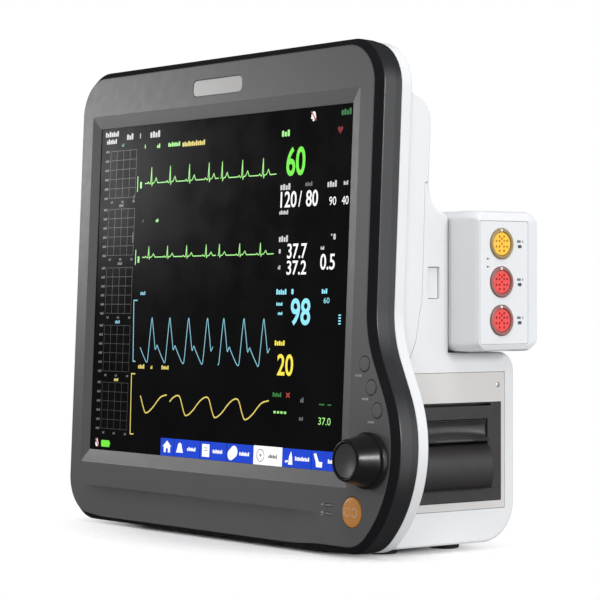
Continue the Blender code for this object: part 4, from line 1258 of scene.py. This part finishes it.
def patient_side():
    x = -SIDE
    panel = side_plate(0.2 - SIDE, 1.7 - SIDE)
    holes = []
    for name, at, r, coat in SOCKETS:
        holes.append(drum(r + GAP, x - 3, x + 5, RIGHT, at))
        if name == "nibp_port":
            flange = [(2.2, x - 1.6), (r - 2.6, x - 1.6), (r - 0.6, x - 1.3), (r, x - 0.4), (r, x + 12)]
            tail = [(4.5, x + 12), (4.5, x + 20), (2.2, x + 20)]
            piece(turned(flange + tail, RIGHT, at), "cuff_port", STEEL, name)
            continue
        mouth = [(0, x + 1), (r - 2.2, x + 1), (r - 1.9, x - 1.3), (r - 1.4, x - 1.6), (r - 0.6, x - 1.6)]
        barrel = [(r - 0.1, x - 1.3), (r, x - 0.9), (r, x + 18), (0, x + 18)]
        socket = turned(mouth + barrel, RIGHT, at)
        if name.startswith("temp"):
            cut(socket, drum(1.9, x - 3, x + 9, RIGHT, at))
        else:
            spots = [(at[0] + 3.6 * cos(pi / 3 * i), at[1] + 3.6 * sin(pi / 3 * i)) for i in range(6)]
            cut(socket, *[drum(0.8, x - 3, x + 4, RIGHT, spot, 16) for spot in spots])
        piece(socket, name + "_shell", coat, name)
    cut(panel, *holes)
    piece(panel, "patient_fascia", PLATE, "patient_panel")


# ---- back
def back_details():
    edge = rounded(grown(BATTERY_X, -GAP), grown(BATTERY_Z, -GAP), BATTERY_R - GAP)
    door = slab(edge, 0.2 - BACK, 2.4 - BACK, REAR, 0.3, 2)
    ribs = [block((x, x + 1.6), (94, 105), (-BACK - 1, 0.8 - BACK), REAR) for x in range(-104, -75, 4)]
    piece(cut(door, *ribs), "battery_cover", WHITE, "battery_door", body="battery_door")
    battery_pack()
    dress("port_panel", GREY)
    for node in ("mains_inlet", "speaker", "print_head"):
        dress(node, MATT_BLACK)
    dress("earth_stud", BRASS)


def battery_pack():
    """Three cells in a shrink wrap, with a pull strap and two contacts."""
    x, z = (-155, -25), (40, 108)
    pack = slab(rounded(x, z, 3), -145.5, -122, REAR, 1.6)
    grooves = [block((at, at + 1.6), (z[0] - 1, z[1] + 1), (-146, -144.9), REAR) for at in (-112, -69)]
    piece(cut(pack, *grooves), "pack", BATTERY, "battery_pack")
    strap = slab(rounded((-98, -82), (z[0] + 2, z[1] - 2), 2), -146.3, -145.3, REAR, 0.3, 2)
    cut(strap, slab(rounded((-94, -86), (z[1] - 14, z[1] - 6), 3.5), -148, -145.4, REAR))
    piece(strap, "battery_strap", GREY)
    contacts = [
        slab(rounded((at, at + 7), (z[0] + 6, z[0] + 16), 1), -145.9, -145.2, REAR, 0.15, 2)
        for at in (-148, -138)
    ]
    piece(merge(contacts), "battery_contacts", BRASS)


# ---- underneath
def feet():
    top = CASE_FOOT - GAP
    pad = [(0, FLOOR + 0.3), (4, FLOOR + 0.3), (4.6, FLOOR), (10.4, FLOOR), (11.1, FLOOR + 0.25)]
    wall = [(11.4, FLOOR + 0.9), (11.4, top - 0.4), (11.0, top), (0, top)]
    for name, at in FEET.items():
        piece(turned(pad + wall, BASE, at), name + "_pad", RUBBER, name)


# ---- kept solids
KEPT = {
    "screen_glass": GLASS_COAT,
    "lcd_panel": HOLE,
    "lcd_bracket": SHEET,
    "alarm_lamp_board": BOARD,
    "key_board": BOARD,
    "encoder_body": GREY,
    "encoder_plunger": STEEL,
    "knob_shaft": STEEL,
    "module_board": BOARD,
    "main_board": BOARD,
    "parameter_board": BOARD,
    "io_board": BOARD,
    "power_supply": SHEET,
    "nibp_pump": GREY,
    "mounting_plate": SHEET,
}


# ---- studio
TENT = 0.62  # strength of the white tent round the object
SHEEN_FROM = (0.79, 0.60, 0.12)  # where the tent is bright in reflections
SHEEN_RANGE = (0.8, 0.995, 0.02, 1.6)  # how near to that way, and how bright
PHOTO_VIEW = ((127, 0, 183.4), 52.34, 0, 1.706)  # point, azimuth, elevation, metres away
MIDDLE = (50, 60, 180)  # where most lamps aim
LAMPS = (  # name, point, azimuth, elevation, metres away, size, power, spread, seen in gloss
    ("key", (50, 60, 130), 104, 14, 2.6, 0.5, 23, 180, True),
    ("upper_left", (-150, 0, 340), -62, 4, 1.3, 0.3, 3.7, 180, True),
    ("front", MIDDLE, 30, 15, 2.2, 0.6, 7.5, 180, False),
    ("top", MIDDLE, 60, 70, 2.4, 1.2, 27, 180, False),
    ("back", MIDDLE, 200, 35, 2.0, 1.4, 10, 180, False),
)


def floor():
    """A pale floor that fades out round the object."""
    work = bmesh.new()
    bmesh.ops.create_grid(work, x_segments=1, y_segments=1, size=3000)
    ground = shape(work, BASE @ Matrix.Translation((0, 0, (FLOOR - 0.05) * MM)))
    ground.name = "floor"
    coat = Coat("floor_paper", (0.93, 0.93, 0.935), 0.85)
    coat.mottle(coat.noise(400, 3), (0.925, 0.925, 0.93), (0.935, 0.935, 0.94))
    gradient = coat.nodes.new("ShaderNodeTexGradient")
    gradient.gradient_type = "SPHERICAL"
    spot = coat.nodes.new("ShaderNodeMapping")
    feed(spot, Location=(-0.08, -0.43, 0), Scale=(4.0, 7.15, 1))
    coat.links.new(coat.place, spot.inputs["Vector"])
    coat.links.new(spot.outputs["Vector"], gradient.inputs["Vector"])
    coat.links.new(coat.spread(gradient.outputs["Fac"], 0, 1, 0.02, 0.42), coat.shader.inputs["Alpha"])
    ground.data.materials.append(coat.material)
    ground.visible_glossy = False


def tent():
    """A white surround: even as light, uneven in reflections, plain white to the eye."""
    world = bpy.data.worlds.new("studio")
    bpy.context.scene.world = world
    world.use_nodes = True
    tree = world.node_tree
    nodes, links = tree.nodes, tree.links
    rays = nodes.new("ShaderNodeLightPath").outputs

    def background(colour, strength=1.0):
        return feed(nodes.new("ShaderNodeBackground"), Color=(*colour, 1), Strength=strength)

    def choose(ray, otherwise, shown):
        mix = nodes.new("ShaderNodeMixShader")
        links.new(rays[ray], mix.inputs["Fac"])
        links.new(otherwise.outputs[0], mix.inputs[1])
        links.new(shown.outputs[0], mix.inputs[2])
        return mix

    mirrored = background((0.97, 0.98, 1.0))
    toward = nodes.new("ShaderNodeVectorMath")
    toward.operation = "DOT_PRODUCT"
    toward.inputs[1].default_value = SHEEN_FROM
    links.new(nodes.new("ShaderNodeTexCoord").outputs["Generated"], toward.inputs[0])
    fall = map_range(tree, toward.outputs["Value"], *SHEEN_RANGE)
    fall.interpolation_type = "SMOOTHSTEP"
    links.new(fall.outputs["Result"], mirrored.inputs["Strength"])
    soft = choose("Is Glossy Ray", background((0.985, 0.99, 1.0), TENT), mirrored)
    seen = choose("Is Camera Ray", soft, background((1, 1, 1)))
    links.new(seen.outputs["Shader"], nodes["World Output"].inputs["Surface"])


def lamps():
    for name, aim, azimuth, elevation, away, size, power, spread, mirrored in LAMPS:
        light = bpy.data.lights.new(name, "AREA")
        light.shape = "DISK"
        light.size, light.energy, light.spread = size, power, radians(spread)
        lamp = add_object(name, light)
        aim_at(lamp, aim, azimuth, elevation, away)
        lamp.visible_glossy = mirrored


def aim_at(obj, point, azimuth, elevation, away):
    """Sets an object metres away from a point, and turns it to face it."""
    a, e = radians(azimuth), radians(elevation)
    outwards = Vector((sin(a) * cos(e), -cos(a) * cos(e), sin(e)))
    obj.location = BASE @ (Vector(point) * MM) + outwards * away
    obj.rotation_euler = (-outwards).to_track_quat("-Z", "Y").to_euler()


def camera():
    """The photo's view, level and from the right."""
    view = add_object("camera", bpy.data.cameras.new("camera"))
    aim_at(view, *PHOTO_VIEW)
    view.data.lens = 138.5
    view.data.sensor_width = 36.0
    bpy.context.scene.camera = view


front_bezel()
alarm_lamp()
keys()
status_lights()
knob()
display()
front_housing()
rear_housing()
recorder()
module_rack()
plug_in_module()
module_latch()
patient_side()
back_details()
feet()
for kept, kept_coat in KEPT.items():
    dress(kept, kept_coat)
bpy.context.scene.view_settings.view_transform = "Standard"
floor()
tent()
lamps()
camera()

bpy.context.view_layer.update()
